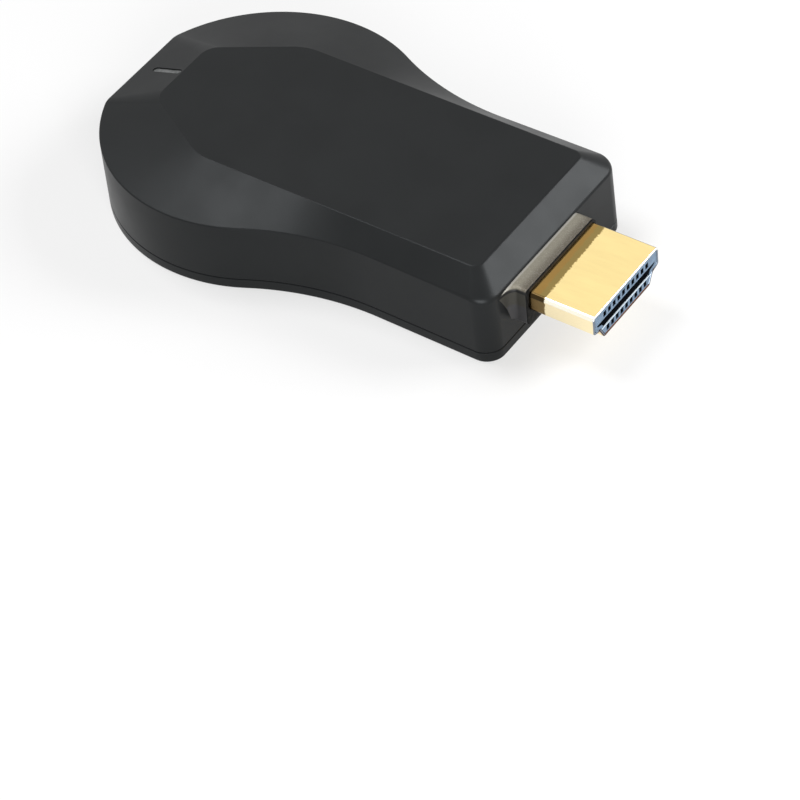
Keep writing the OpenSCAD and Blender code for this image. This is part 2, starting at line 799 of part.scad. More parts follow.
module bulk_capacitors() placed() color(ceramic_tan)
    for (s = below_shares) block([bulk_l, bulk_w, bulk_h], under_board(back_capacitor_row, s, bulk_h));

module socket_shell() placed() color(steel) difference() {
    union() {
        run_x(socket_mouth, socket_mouth + socket_l) socket_profile(0);
        intersection() {
            run_x(socket_mouth, socket_mouth + socket_lip) socket_profile(socket_lip);
            box([socket_l, socket_w + socket_l, socket_h + 2 * socket_lip], [socket_mouth, 0, socket_mid]);
        }
    }
    run_x(socket_mouth - overrun, socket_mouth + socket_l + overrun) socket_profile(-socket_t);
}

module socket_tongue() placed() color(chip_black) {
    back = socket_mouth + socket_l;
    tip = back - tongue_block - tongue_l;
    run_x(back - tongue_block, back) socket_profile(-socket_t - slip);
    box([tongue_l + overrun, tongue_w, tongue_t], [tip + (tongue_l + overrun) / 2, 0, socket_mid]);
}

// Contacts lie under the tongue and leave the shell behind, along the board
module socket_contacts() placed() color(contact_gold) for (i = [0:socket_pins - 1]) {
    y = (i - (socket_pins - 1) / 2) * pin_pitch;
    back = socket_mouth + socket_l;
    tip = back - tongue_block - tongue_l + pin_w;
    box(
        [tongue_l - pin_w, pin_w, pin_t],
        [tip + (tongue_l - pin_w) / 2, y, socket_mid - (tongue_t + pin_t) / 2]
    );
    box([leg_l, pin_w, leg_t], [back + leg_l / 2, y, board_z - leg_t / 2]);
}

module switch_body() placed() color(chip_black) difference() {
    box(
        [switch_l, switch_d, switch_h - cover_t],
        [-button_x, switch_face - switch_d / 2, board_z - (switch_h - cover_t) / 2]
    );
    box(
        [plunger_l + 2 * plunger_gap, 2 * pocket_d, plunger_h + 2 * plunger_gap],
        [-button_x, switch_face, button_z]
    );
}

module switch_cover() placed() color(steel)
    block([switch_l, switch_d, cover_t], [-button_x, switch_face - switch_d / 2, board_z - switch_h]);

// Sprung dome at the bottom of the switch's pocket, its crown towards the plunger
module switch_dome() placed() color(steel)
    translate([-button_x, switch_face - pocket_d, button_z]) rotate([-90, 0, 0]) rotate_extrude() polygon([
        [0, dome_h], [dome_r / 2, dome_h - dome_t / 2], [dome_r, 0], [dome_r - dome_t, 0],
        [dome_r / 2, dome_h - dome_t - dome_t / 2], [0, dome_h - dome_t]
    ]);

module switch_plunger() placed() color("white")
    box(
        [plunger_l, plunger_out + plunger_in, plunger_h],
        [-button_x, switch_face + (plunger_out - plunger_in) / 2, button_z]
    );

module function_button() placed() color(case_black) {
    translate([-button_x, plunger_tip, button_z]) rotate([-90, 0, 0]) {
        linear_extrude(button_flange_t) slot(button_flange_l, button_flange_h);
        linear_extrude(button_flange_t + rest_gap + wall + button_proud) slot(button_l, button_h);
    }
}

module status_light() placed() color(lamp_clear)
    block([light_l, light_w, light_h], [light_x, 0, board_top]);

// The pipe's face follows the sloped top between the plate's back edge and the flat end
function slope_z(x) = rim_h + (x + case_l) * (case_h - rim_h) / plate_back;
module light_pipe() placed() color(lamp_clear) {
    low = board_top + light_h + pipe_gap;
    from = light_x - window_l / 2;
    to = min(light_x + window_l / 2, -plate_back_x);
    roof = slope_z(from) - wall - pipe_flange_t;
    intersection() {
        translate([0, window_w / 2 - slip, 0]) rotate([90, 0, 0]) linear_extrude(window_w - 2 * slip)
            polygon([
                [from, roof - pipe_flange_t],
                [to, roof - pipe_flange_t],
                [to, slope_z(to) - window_back],
                [from, slope_z(from) - window_back]
            ]);
        translate([light_x, 0, 0]) linear_extrude(case_h) slot(window_l - 2 * slip, window_w - 2 * slip);
    }
    block([window_l, window_w + 2 * pipe_flange, pipe_flange_t], [light_x, 0, roof - pipe_flange_t]);
    block([light_l, pipe_neck, roof - low], [light_x, 0, low]);
}

top_cover();
bottom_cover();
label_blank();
plug_collar();
collar_seal();
plug_shell();
plug_insulator();
upper_contacts();
lower_contacts();
main_board();
board_screws();
processor();
thermal_pad();
heat_sink();
memory_chip();
flash_chip();
clock_crystal();
surge_arrays();
ceramic_capacitors();
chip_resistors();
power_inductors();
regulators();
bulk_capacitors();
socket_shell();
socket_tongue();
socket_contacts();
switch_body();
switch_cover();
switch_dome();
switch_plunger();
function_button();
status_light();
light_pipe();
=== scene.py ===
import math

import bmesh
import bpy
from bpy.props import FloatProperty, FloatVectorProperty, IntProperty, PointerProperty
from mathutils import Matrix, Vector


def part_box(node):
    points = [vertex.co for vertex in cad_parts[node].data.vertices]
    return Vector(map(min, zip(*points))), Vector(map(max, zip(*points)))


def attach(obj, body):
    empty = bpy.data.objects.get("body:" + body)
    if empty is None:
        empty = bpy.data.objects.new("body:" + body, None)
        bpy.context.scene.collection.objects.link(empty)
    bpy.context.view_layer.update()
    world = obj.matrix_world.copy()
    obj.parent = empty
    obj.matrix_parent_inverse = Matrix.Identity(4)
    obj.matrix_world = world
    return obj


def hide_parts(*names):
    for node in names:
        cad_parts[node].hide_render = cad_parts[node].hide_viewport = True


bl_info = {
    "name": "Wireless display stick",
    "version": (1, 0, 0),
    "blender": (4, 5, 0),
    "location": "3D View > Sidebar > Display stick",
    "description": "Dresses the display stick's frame with its case, plug, socket, button, board and stage",
    "category": "Object",
}

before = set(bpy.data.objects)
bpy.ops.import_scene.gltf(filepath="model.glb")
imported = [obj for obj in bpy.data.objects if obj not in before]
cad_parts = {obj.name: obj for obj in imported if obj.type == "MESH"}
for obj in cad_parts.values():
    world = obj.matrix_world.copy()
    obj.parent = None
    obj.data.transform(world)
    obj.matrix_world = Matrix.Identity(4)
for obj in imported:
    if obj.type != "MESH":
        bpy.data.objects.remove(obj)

MM = 0.001
HOUSING = "housing"
BUTTON = "button"
WHITE = (1, 1, 1, 1)
MERGE_DISTANCE = 0.0001 * MM
FLAT_ANGLE = math.radians(1)
BACK_POST_ANGLE = math.radians(123)
FINE_EDGE = 0.03 * MM
# A row of the plain finishes: the colour's name and tone, roughness, metallic, specular, the name and tone of
# the clouds' colour, and in millimetres the clouds' size and the relief's grain and depth.
FINISHES = {
    "ceramic body": ("ceramic", 0, 0.45, 0, 0.5, "ceramic", -0.2, 0.6, 0.08, 0.002),
    "ferrite core": ("ferrite", 0, 0.6, 0, 0.5, "ferrite", -0.2, 0.6, 0.08, 0.002),
    "tantalum body": ("tantalum", 0, 0.4, 0, 0.5, "tantalum", -0.2, 0.6, 0.08, 0.002),
    "resistor glaze": ("glaze", 0, 0.3, 0, 0.5, "glaze", -0.2, 0.6, 0.08, 0.002),
    "soft pad": ("pad", 0, 0.7, 0, 0.5, "pad", -0.2, 0.6, 0.08, 0.002),
    "white nylon": ("nylon", 0, 0.4, 0, 0.5, "nylon", -0.2, 0.6, 0.08, 0.002),
    "drawn aluminium": ("sink", 0, 0.35, 1, 0.5, "sink", -0.2, 0.6, 0.08, 0.002),
    "lamp lens": ("lens", 0, 0.2, 0, 0.5, "lens", -0.2, 0.6, 0.08, 0.002),
    "moulded dark": ("dark", 0, 0.45, 0, 0.4, "dark_worn", 0, 0.7, 0.07, 0.003),
    "seal black": ("seal", 0, 0.5, 0, 0.05, "seal_worn", 0, 0.4, 0.08, 0.003),
    "button black": ("case", -0.1, 0.35, 0, 0.42, "case", 0.01, 1.5, 0.07, 0.0015),
    "frosted window": ("window", 0, 0.45, 0, 0.5, "window", 0.08, 0.5, 0.06, 0.002),
    "contact plating": ("gold", -0.25, 0.3, 1, 0.5, "gold", -0.5, 0.3, 0.08, 0.001),
    "label film": ("label", 0, 0.5, 0, 0.35, "label", -0.08, 3, 0.15, 0.002),
}
# A piece inside: its CAD node, its name, its edges' radius in millimetres, its slot and its finish.
INNER_PIECES = (
    ("main_board", "board_sheet", 0, "circuit_board", "solder mask"),
    ("board_screws", "board_fixings", 0, "zinc_steel", "tinned steel"),
    ("processor", "video_chip", 0.06, "chip_black", "moulded dark"),
    ("thermal_pad", "soft_pad", 0.05, "pad", "soft pad"),
    ("heat_sink", "finned_sink", 0.06, "aluminium", "drawn aluminium"),
    ("memory_chip", "working_memory", 0.05, "chip_black", "moulded dark"),
    ("flash_chip", "program_memory", 0.02, "chip_black", "moulded dark"),
    ("clock_crystal", "timing_crystal", 0.08, "can_steel", "tinned steel"),
    ("surge_arrays", "surge_guards", 0.04, "chip_black", "moulded dark"),
    ("ceramic_capacitors", "small_capacitors", 0.04, "ceramic", "ceramic body"),
    ("chip_resistors", "small_resistors", 0.03, "chip_black", "resistor glaze"),
    ("power_inductors", "supply_coils", 0.1, "ferrite", "ferrite core"),
    ("regulators", "supply_regulators", 0.02, "chip_black", "moulded dark"),
    ("bulk_capacitors", "supply_capacitors", 0.08, "tantalum", "tantalum body"),
    ("switch_body", "switch_base", 0.05, "socket_black", "moulded dark"),
    ("switch_cover", "switch_lid", 0.03, "can_steel", "tinned steel"),
    ("switch_dome", "switch_spring", 0, "can_steel", "tinned steel"),
    ("switch_plunger", "switch_stem", 0.05, "plunger_white", "white nylon"),
    ("status_light", "signal_lamp", 0.05, "lamp", "lamp lens"),
)
# The ways from the lit point to the soft lamps.
LAMP_WAYS = {"front": (0.61, 0.6, 0.52), "top": (-0.42, -0.03, 0.9), "low": (0.6, -0.74, 0.3)}
SOCKET_KINDS = {
    int: "NodeSocketInt",
    float: "NodeSocketFloat",
    tuple: "NodeSocketVector",
    bpy.types.Material: "NodeSocketMaterial",
}
CASE_LENGTH = 60 * MM
FRONT_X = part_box("top_cover")[0].x + CASE_LENGTH


def noted(kind, scale=None, **settings):
    """A class decorator that makes a property of each note in a group: a default and a text."""
    def dress(group):
        for name, note in group.__annotations__.items():
            if isinstance(note, tuple):
                default, text = note
                default = default * scale if scale else default
                label = name.replace("_", " ").capitalize()
                group.__annotations__[name] = kind(name=label, description=text, default=default, **settings)
        return group

    return dress


lengths = noted(FloatProperty, MM, precision=5, unit="LENGTH")
tints = noted(FloatVectorProperty, subtype="COLOR", size=3, min=0, max=1)
levels = noted(FloatProperty)


@lengths
class CaseSizes(bpy.types.PropertyGroup):
    length: (CASE_LENGTH / MM, "From the front rim to the flat end")
    height: (11.75, "Up to the top plate")
    rim_height: (9.6, "Edge between the side wall and the sloped top")
    front_rim_height: (9.25, "The same edge along the front face")
    seam_height: (1.4, "Seam between the two covers")
    seam_gap: (0.1, "Open gap of the seam")
    neck_width: (28.5, "Neck at the front face")
    waist_width: (27.4, "Where the flanks reach the round end's centre")
    round_diameter: (39.69, "Round end")
    flat_width: (13.9, "Flat end between its two corners")
    blend_radius: (35.3, "Hollow curve between a flank and the round end")
    front_radius: (2.4, "Two front corners")
    back_radius: (2.9, "Two corners at the flat end")
    front_lean: (0.4, "How far the front face leans out at its foot")
    base_radius: (0.3, "Edge round the underside")
    wall: (1.4, "Thickness of the walls")
    rim_radius: (0.22, "Edge between the side wall and the sloped top")
    corner_rim_radius: (1.0, "What this edge grows to at the front corners")
    plate_radius: (0.22, "Edge round the top plate")
    corner_plate_radius: (0.55, "What this edge grows to near the front corners")
    seam_bevel: (0.07, "Small bevel on both sides of the seam")
    lip_height: (1.2, "Bottom cover's lip above the seam")
    lip_width: (1, "Thickness of that lip")
    rib_length: (5, "Snap rib on the lip")
    rib_height: (0.6, "Snap rib")
    rib_out: (0.3, "How far a snap rib stands out of the lip")
    front_rib: (7.2, "From the front face to the front snap ribs")
    post: (4, "Diameter of the posts under the board")
    post_foot: (0.3, "How far a post reaches down into the floor")
    post_bore: (1.7, "Diameter of the hole in a post")
    bore_depth: (4.2, "Depth of that hole")
    front_post: (16.9, "From the front face to the front posts")
    post_inset: (4.7, "From the case's side to the middle of a post")
    holder: (2, "Diameter of the posts that hold the board down")
    holder_inset: (6.3, "From the round end's side to such a post")


@lengths
class PlateSizes(bpy.types.PropertyGroup):
    front: (2.9, "From the front face to the flat plate")
    width: (22.5, "Flat plate")
    side: (17.2, "From the plate's side corners to the flat end")
    back: (6.7, "From the plate's back edge to the flat end")
    back_width: (10.5, "Plate's back edge")
    front_radius: (1.3, "Plate's front corners")
    side_radius: (6.5, "Plate's side corners")
    back_radius: (2.6, "Plate's back corners")


@lengths
class PlugSizes(bpy.types.PropertyGroup):
    width: (13.9, "Plug's shell")
    height: (4.45, "Plug's shell")
    side_height: (2.65, "Upright sides of the shell")
    shoulder_in: (1.25, "How far each shoulder comes in from its side")
    shoulder_fall: (0.3, "Fall of each shoulder")
    base_in: (0.8, "How far each lower corner comes in from its shoulder")
    out: (11.05, "From the front face to the plug's tip")
    inside: (5, "Insulator inside the case")
    shell_back: (1, "How far the shell reaches behind the insulator")
    leg_reach: (10.5, "From the front face to the end of the shell's legs")
    leg_width: (1, "Shell's two legs on the board")
    leg_inset: (0.01, "From the shell's side to a leg")
    leg_gap: (0.15, "From the insulator to the legs")
    middle_z: (6.4, "Plug's middle above the underside")
    middle_y: (-2.2, "Plug's middle from the middle of the case")
    metal: (0.3, "Thickness of the shell's metal")
    radius: (0.45, "Shell's corners")
    tip_bevel: (0.1, "Rounding round the tip's rim")
    # The root band is a painted reflection in the gold.
    root: (1.6, "Darker band at the shell's root")
    root_slant: FloatProperty(
        name="Root slant", description="Growth of that band for each length across", default=0.03
    )
    insulator_back: (0.05, "How far the insulator stands back from the tip")
    cavity_wall: (0.4, "Insulator beside the cavity")
    cavity_height: (1.25, "Insulator's cavity")
    cavity_depth: (8, "Insulator's cavity")
    cavity_fall: (0.15, "Cavity's middle below the plug's middle")
    pitch: (1, "From one contact to the next")
    contact_width: (0.36, "Contact")
    contact_metal: (0.2, "Thickness of a contact")
    knee: (1.15, "From the insulator to the bend of a contact")
    slot_width: (0.62, "Slot of a contact")
    upper_slot_height: (0.8, "Upper slot")
    lower_slot_height: (0.8, "Lower slot")
    upper_rise: (1.125, "Upper contacts above the plug's middle")
    lower_fall: (1.325, "Lower contacts below the plug's middle")
    upper_count: IntProperty(name="Upper contacts", description="Contacts in the upper row", default=10)
    lower_count: IntProperty(name="Lower contacts", description="Contacts in the lower row", default=9)


@lengths
class CollarSizes(bpy.types.PropertyGroup):
    thickness: (0.39, "Collar round the shell")
    out: (2.2, "How far the collar stands out of the front face")
    radius: (0.6, "Collar's corners")
    far_radius: (1.0, "Collar's far upper corner")
    flange_height: (0.6, "Flange inside the case")
    flange_depth: (1.4, "Thickness of that flange")
    foot_depth: (1.1, "Hollow foot that the collar's near side spreads into")
    foot_width: (2.5, "That foot along the front face")
    foot_sunk: (0.02, "How far that foot starts inside the front face")
    edge: (0.1, "Radius round the collar's mouth")
    seal: (0.2, "Thickness of the black seal at the mouth")
    seal_proud: (0.02, "How far the seal stands proud of the collar")
    seal_edge: (0.07, "Radius round the seal's mouth")
    slip: (0.05, "Clearance of a sliding or seated fit")


@lengths
class SocketSizes(bpy.types.PropertyGroup):
    width: (7.5, "Power socket's shell")
    height: (2.5, "Power socket's shell")
    length: (5.2, "Power socket's shell")
    back: (0.8, "How far the mouth lies inside the flat end")
    room: (0.1, "Gap round the lip in the case")
    chamfer: (0.9, "Shell's two lower corners")
    metal: (0.25, "Thickness of the shell's metal")
    lip: (0.25, "Flared lip round the mouth")
    lip_rim: (0.14, "Thickness of the lip's rim")
    lip_rise: (0.04, "How far this rim stands out of the mouth")
    lip_bevel: (0.06, "Bevel on the lip's back edge")
    lip_flare: (0.12, "From the lip to the shell behind it")
    radius: (0.3, "Shell's corners")
    top_z: (5.9, "Shell's top, which is the board's lower face")
    tongue_width: (3.6, "Tongue")
    tongue_height: (0.6, "Thickness of the tongue")
    tongue_length: (3.2, "Tongue")
    block: (1.3, "Block that closes the shell's back")
    pitch: (0.65, "From one pin to the next")
    pin_width: (0.25, "Pin")
    pin_metal: (0.1, "Thickness of a pin")
    tail_metal: (0.2, "Thickness of a pin's tail")
    pins: IntProperty(name="Pins", description="Pins on the tongue", default=5)


@lengths
class ButtonSizes(bpy.types.PropertyGroup):
    length: (4, "Button along the flank")
    height: (1.5, "Button")
    crown: (0.08, "Rise of the button's face at its middle")
    edge: (0.2, "Radius round the button's face")
    flange_length: (5.4, "Flange inside the case")
    flange_height: (1.8, "The same flange")
    flange_depth: (0.6, "Thickness of that flange")
    gap: (0.15, "Gap round the button in the flank")


@lengths
class WindowSizes(bpy.types.PropertyGroup):
    length: (4.4, "Light window along the sloped top")
    width: (0.85, "Light window")
    middle: (4.3, "From the flat end to the middle of the window")


@tints
class FinishColours(bpy.types.PropertyGroup):
    case: ((0.0092, 0.0098, 0.0101), "Black of the moulded case")
    sheen: ((0.92, 0.97, 1), "Cool tint of the case's sheen")
    gold: ((1.0, 0.79, 0.36), "Gold plate of the display plug")
    # The next two colours are a painted reflection: the darker band at the plug's root.
    amber: ((0.34, 0.205, 0.06), "Darker gold at the plug's root")
    olive: ((0.29, 0.22, 0.075), "Duller gold where the root's dark band ends")
    # Painted highlight on the plug's near side and its upper edge.
    edge: ((1, 0.95, 0.8), "Pale gold of the plug's near upper edge")
    # Painted shade: the brown on the plug's lower rim and far upper edge.
    burnt: ((0.045, 0.018, 0.01), "Brown of the plug's lower rim and far edge")
    # Painted shade on the root's near side, and a painted shadow line along its upper edge.
    near_root: ((0.15, 0.1, 0.04), "Dark gold of the root's near side")
    near_root_shadow_line: ((0.02, 0.013, 0.006), "Line along the upper edge of that side")
    mouth: ((0.2, 0.24, 0.3), "Shaded metal on the plug's tip")
    # Painted highlight along the top of the tip's rim; the mouth colour above is the shaded copy of this
    # metal.
    rim: ((0.86, 0.87, 0.86), "Bright metal on the rim of the plug's tip")
    insulator: ((0.11, 0.18, 0.267), "Blue-grey of the plug's insulator")
    slot: ((0.003, 0.004, 0.006), "Shade down in the insulator's slots")
    # Painted highlight along the edge of the cavity's floor.
    sill: ((0.75, 0.85, 0.92), "Pale edge of the cavity's floor")
    collar: ((0.2, 0.185, 0.145), "Warm grey of the collar's top")
    collar_front: ((0.075, 0.062, 0.045), "Darker grey of the collar's front")
    # The next three colours are painted shade down the collar's sides: a black line under the upper edge,
    # then darker greys.
    collar_shade_line: ((0.003, 0.003, 0.003), "Dark line under the collar's upper edge")
    collar_side_shade: ((0.033, 0.0315, 0.026), "Upper part of the collar's side")
    collar_foot_shade: ((0.034, 0.0335, 0.035), "Lower part of the collar's side")
    seal_worn: ((0.012, 0.012, 0.012), "Worn black of the collar's seal")
    dark: ((0.014, 0.014, 0.015), "Black of the small inner mouldings")
    dark_worn: ((0.024, 0.024, 0.026), "Worn black of those mouldings")
    seal: ((0.006, 0.006, 0.006), "Black of the collar's seal")
    window: ((0.075, 0.08, 0.08), "Frosted grey of the light window")
    steel: ((0.62, 0.62, 0.63), "Tinned steel of the socket and small parts")
    board: ((0.012, 0.085, 0.03), "Green of the board's solder mask")
    label: ((0.32, 0.33, 0.34), "Grey of the blank label")
    tantalum: ((0.5, 0.32, 0.04), "Yellow of the large capacitors")
    ferrite: ((0.05, 0.05, 0.055), "Dark grey of the coils")
    ceramic: ((0.27, 0.18, 0.11), "Brown of the small capacitors")
    glaze: ((0.02, 0.02, 0.022), "Black of the small resistors")
    nylon: ((0.72, 0.71, 0.67), "White of the switch's stem")
    pad: ((0.36, 0.42, 0.52), "Blue-grey of the soft pad under the heat sink")
    sink: ((0.6, 0.61, 0.62), "Aluminium of the heat sink")
    lens: ((0.7, 0.72, 0.66), "Pale lens of the lamp")
    floor: ((0.86, 0.86, 0.86), "Colour of the floor")


@levels
class StageSettings(bpy.types.PropertyGroup):
    azimuth: (38.717, "Camera's turn round the object in degrees, 0 looking along +Y")
    elevation: (44.903, "Camera's height above the horizon in degrees")
    roll: (-6.218, "Camera's roll in degrees")
    lens: (169.47, "Focal length in millimetres")
    sensor: (36.0, "Width of the camera's sensor in millimetres")
    world: (0.1, "Strength of the even light from all round")
    floor_white: (0.6, "Share of plain white that the camera and a gloss see in the floor")
    front_lamp: (11.0, "Radiance of the soft lamp beyond the plug")
    top_lamp: (8.0, "Radiance of the soft lamp overhead")
    low_lamp: (9.5, "Radiance of the low soft lamp on the near side")


@lengths
class StageSizes(bpy.types.PropertyGroup):
    distance: (439.96, "From the camera to the plane through the front face's foot")
    aim_right: (18.466, "Aim to the right of that foot, as the camera sees it")
    aim_up: (-12.522, "Aim above that foot, as the camera sees it")
    near_clip: (10, "Where the camera starts to see")
    floor_half: (1500, "Half of the floor's width")
    floor_drop: (0.02, "From the underside down to the floor")
    lamp_reach: (500, "From the lit point to the lamps, along their ways")
    lit_height: (6, "Point that the lamps are turned to")
    front_lamp: (250, "Width of the soft lamp beyond the plug")
    top_lamp: (220, "Width of the soft lamp overhead")
    low_lamp: (300, "Width of the low soft lamp on the near side")


def at(x, y, z):
    """A point given from the middle of the front face's foot, +X towards the plug's tip."""
    return Vector((FRONT_X + x, y, z))


def span(node):
    """Lowest and highest corner of a CAD node, measured from the middle of the front face's foot."""
    return [Vector(corner) - at(0, 0, 0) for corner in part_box(node)]


def middle_of(node):
    """Middle of a CAD node's box, measured from the same point."""
    low, high = span(node)
    return (low + high) / 2


def grown(points, amount):
    """Moves every side of a polygon outwards by an amount, inwards where it is negative."""
    moved = []
    for i, point in enumerate(points):
        before = (point - points[i - 1]).normalized()
        after = (points[(i + 1) % len(points)] - point).normalized()
        normals = Vector((before.y, -before.x)) + Vector((after.y, -after.x))
        moved.append(point + normals * amount / (1 + before.dot(after)))
    return moved


def fillet(a, b, c, radius, count):
    """Points of the arc that rounds the corner at b between a and c."""
    u, v = (a - b).normalized(), (c - b).normalized()
    half = math.acos(max(-1, min(1, u.dot(v)))) / 2
    centre = b + (u + v).normalized() * radius / math.sin(half)
    start = b + u * radius / math.tan(half) - centre
    turn = math.copysign(math.pi - 2 * half, (b - a).cross(c - b))
    return [centre + Matrix.Rotation(turn * i / count, 2) @ start for i in range(count + 1)]


def rounded(points, radius, count=6):
    """A polygon with all its corners rounded, by one radius or by one for each corner."""
    radii = [radius] * len(points) if isinstance(radius, (int, float)) else radius
    made = []
    for i, point in enumerate(points):
        made += fillet(points[i - 1], point, points[(i + 1) % len(points)], radii[i], count)
    return made


def arc(centre, radius, start, end, count):
    """Points along an arc, without its first one."""
    angles = [start + (end - start) * i / count for i in range(1, count + 1)]
    return [centre + radius * Vector((math.cos(a), math.sin(a))) for a in angles]


def between(start, end, count):
    """Points from start to end, without the first one."""
    return [start.lerp(end, i / count) for i in range(1, count + 1)]


class CaseForm:
    """The case's outline as tangent lines and arcs, with one plate point for each of its points."""

    corner_n, flank_n, blend_n, side_n, turn_n, oblique_n, back_n = 12, 10, 22, 16, 14, 30, 10
    turn_share, corner_spread, least_radius = 0.78, 0.62, 0.2 * MM

    def __init__(self, case, plate):
        self.case, self.plate = case, plate
        radius = case.round_diameter / 2
        self.round_x = case.length - math.sqrt(radius**2 - (case.flat_width / 2) ** 2)
        self.taper = math.atan((case.neck_width - case.waist_width) / 2 / self.round_x)
        along = Vector((math.cos(self.taper), math.sin(self.taper)))
        self.across = Vector((-along.y, along.x))
        self.centre = Vector((-self.round_x, 0))
        start = Vector((0, case.neck_width / 2)) + self.across * case.blend_radius - self.centre
        far = radius + case.blend_radius
        run = start.dot(along) - math.sqrt(start.dot(along) ** 2 - start.dot(start) + far**2)
        self.blend_centre = self.centre + start - along * run
        to_blend = self.blend_centre - self.centre
        self.join = math.atan2(to_blend.y, to_blend.x)
        self.plate_side_x = case.length - plate.side
        self.plate_back_x = case.length - plate.back
        self.plate_turn = math.atan2(
            (plate.width - plate.back_width) / 2, self.plate_back_x - self.plate_side_x
        )
        lead = plate.side_radius * math.tan(self.plate_turn / 2)
        self.side_angle = math.acos((self.round_x - self.plate_side_x + lead) / radius)
        self.turn_angle = self.side_angle + self.plate_turn * self.turn_share

    def half(self, inset):
        """Outline on the +Y side, from the front face to the flat end, drawn in."""
        case = self.case
        radius = case.round_diameter / 2 - inset
        front = max(case.front_radius - inset, self.least_radius)
        back = max(case.back_radius - inset, self.least_radius)
        x = -inset - front
        y = case.neck_width / 2 - (inset + front) / math.cos(self.taper) + x * math.tan(self.taper)
        corner = Vector((x, y))
        back_x = self.round_x - case.length + inset + back
        back_y = math.sqrt((radius - back) ** 2 - back_x**2)
        back_angle = math.atan2(back_y, back_x)
        blend = case.blend_radius + inset
        quarter = math.pi / 2
        return [
            corner + Vector((front, 0)),
            *arc(corner, front, 0, quarter + self.taper, self.corner_n),
            *between(corner + front * self.across, self.blend_centre - self.across * blend, self.flank_n),
            *arc(self.blend_centre, blend, 3 * quarter + self.taper, 2 * quarter + self.join, self.blend_n),
            *arc(self.centre, radius, self.join, self.side_angle, self.side_n),
            *arc(self.centre, radius, self.side_angle, self.turn_angle, self.turn_n),
            *arc(self.centre, radius, self.turn_angle, back_angle, self.oblique_n),
            *arc(self.centre + Vector((back_x, back_y)), back, back_angle, 2 * quarter, self.back_n),
        ]

    def half_plate(self, inset):
        """Outline of the plate with one point for each point of the case's outline."""
        plate = self.plate
        width = plate.width / 2 - inset
        a = Vector((-plate.front - inset, 0))
        b = Vector((-plate.front - inset, width))
        c = Vector((-self.plate_side_x, width))
        slant = inset * math.tan(math.pi / 4 - self.plate_turn / 2)
        d = Vector((-self.plate_back_x + inset, plate.back_width / 2 - slant))
        e = Vector((-self.plate_back_x + inset, 0))
        front = fillet(a, b, c, plate.front_radius, self.corner_n)
        side = fillet(b, c, d, plate.side_radius, self.turn_n)
        back = fillet(c, d, e, plate.back_radius, self.back_n)
        rim = self.half(0)
        first, last = self.corner_n, self.corner_n + self.flank_n + self.blend_n + self.side_n
        length = rim[last].x - rim[first].x
        middle = [
            front[-1].lerp(side[0], (rim[i].x - rim[first].x) / length) for i in range(first + 1, last + 1)
        ]
        return [*front, *middle, *side[1:], *between(side[-1], back[0], self.oblique_n), *back[1:]]

    def rim_heights(self):
        """Height of the rim over each point: it falls towards the front face over the corners."""
        case = self.case
        rise = case.rim_height - case.front_rim_height
        return [case.front_rim_height + rise * min(i / self.corner_n, 1) for i in range(len(self.half(0)))]

    def corner_share(self, i):
        """One at the middle of the front corner, and less for the points on both sides of it."""
        return math.exp(-(((i / self.corner_n - 0.5) / self.corner_spread) ** 2))

    def leaning(self, inset, z):
        """Half outline at a height below the rim: the neck grows longer, so the front face leans out."""
        reach = self.case.front_lean * (1 - z / self.case.front_rim_height)
        half = self.half(inset)
        return [Vector((p.x + reach * max(0, 1 + p.x / self.round_x), p.y, z)) for p in half]

    def flank_y(self, x):
        """Half width of the neck at a distance behind the front face."""
        return self.case.neck_width / 2 - x * math.tan(self.taper)


def mirrored(half):
    """A closed ring of 3-D points from its half on the +Y side."""
    return half + [Vector((p.x, -p.y, p.z)) for p in reversed(half)]


def raised(points, z):
    """Flat outline points at a height."""
    return [Vector((p.x, p.y, z)) for p in points]


def edge_arc(corner, to_first, to_last, radius, count):
    """Points of the arc that rounds a 3-D edge between two directions."""
    u, v = to_first.normalized(), to_last.normalized()
    half = u.angle(v) / 2
    centre = corner + (u + v).normalized() * radius / math.sin(half)
    start = corner + u * radius / math.tan(half) - centre
    end = corner + v * radius / math.tan(half) - centre
    reach, first, last = start.length, start.normalized(), end.normalized()
    return [centre + reach * first.slerp(last, i / count) for i in range(count + 1)]


def new_object(name, data):
    """An object at the origin that shows a mesh, a lamp or a camera."""
    made = bpy.data.objects.new(name, data)
    bpy.context.scene.collection.objects.link(made)
    return made


def cleaned(mesh, whole_flats=False):
    """Merges a mesh's doubles, then makes its flats whole or else turns its faces outwards."""
    work = bmesh.new()
    work.from_mesh(mesh)
    bmesh.ops.remove_doubles(work, verts=work.verts, dist=MERGE_DISTANCE)
    if whole_flats:
        bmesh.ops.dissolve_limit(work, angle_limit=FLAT_ANGLE, verts=work.verts, edges=work.edges)
    else:
        bmesh.ops.recalc_face_normals(work, faces=work.faces)
    work.to_mesh(mesh)
    work.free()


def solid(name, points, faces):
    """A closed mesh with its faces pointing outwards, placed from the front face's foot."""
    mesh = bpy.data.meshes.new(name)
    mesh.from_pydata([at(*p) for p in points], [], faces)
    cleaned(mesh)
    return new_object(name, mesh)


def skinned(name, rings, ends="joined"):
    """A skin through rings of points, its ends joined to each other or closed with strips or flat."""
    count, total = len(rings[0]), len(rings)
    faces = []
    for k in range(total if ends == "joined" else total - 1):
        a, b = k * count, (k + 1) % total * count
        faces += [(a + i, a + (i + 1) % count, b + (i + 1) % count, b + i) for i in range(count)]
    for base in (0, (total - 1) * count):
        near, far = base, base + count - 1
        if ends == "strips":
            faces += [(near + i, near + i + 1, far - 1 - i, far - i) for i in range(count // 2 - 1)]
        elif ends == "flat":
            faces.append(tuple(range(near, far + 1)))
    return solid(name, [p for ring in rings for p in ring], faces)


def profile_ring(outline, x):
    """A profile in Y and Z as a ring of points at a place along X."""
    return [Vector((x, p.x, p.y)) for p in outline]


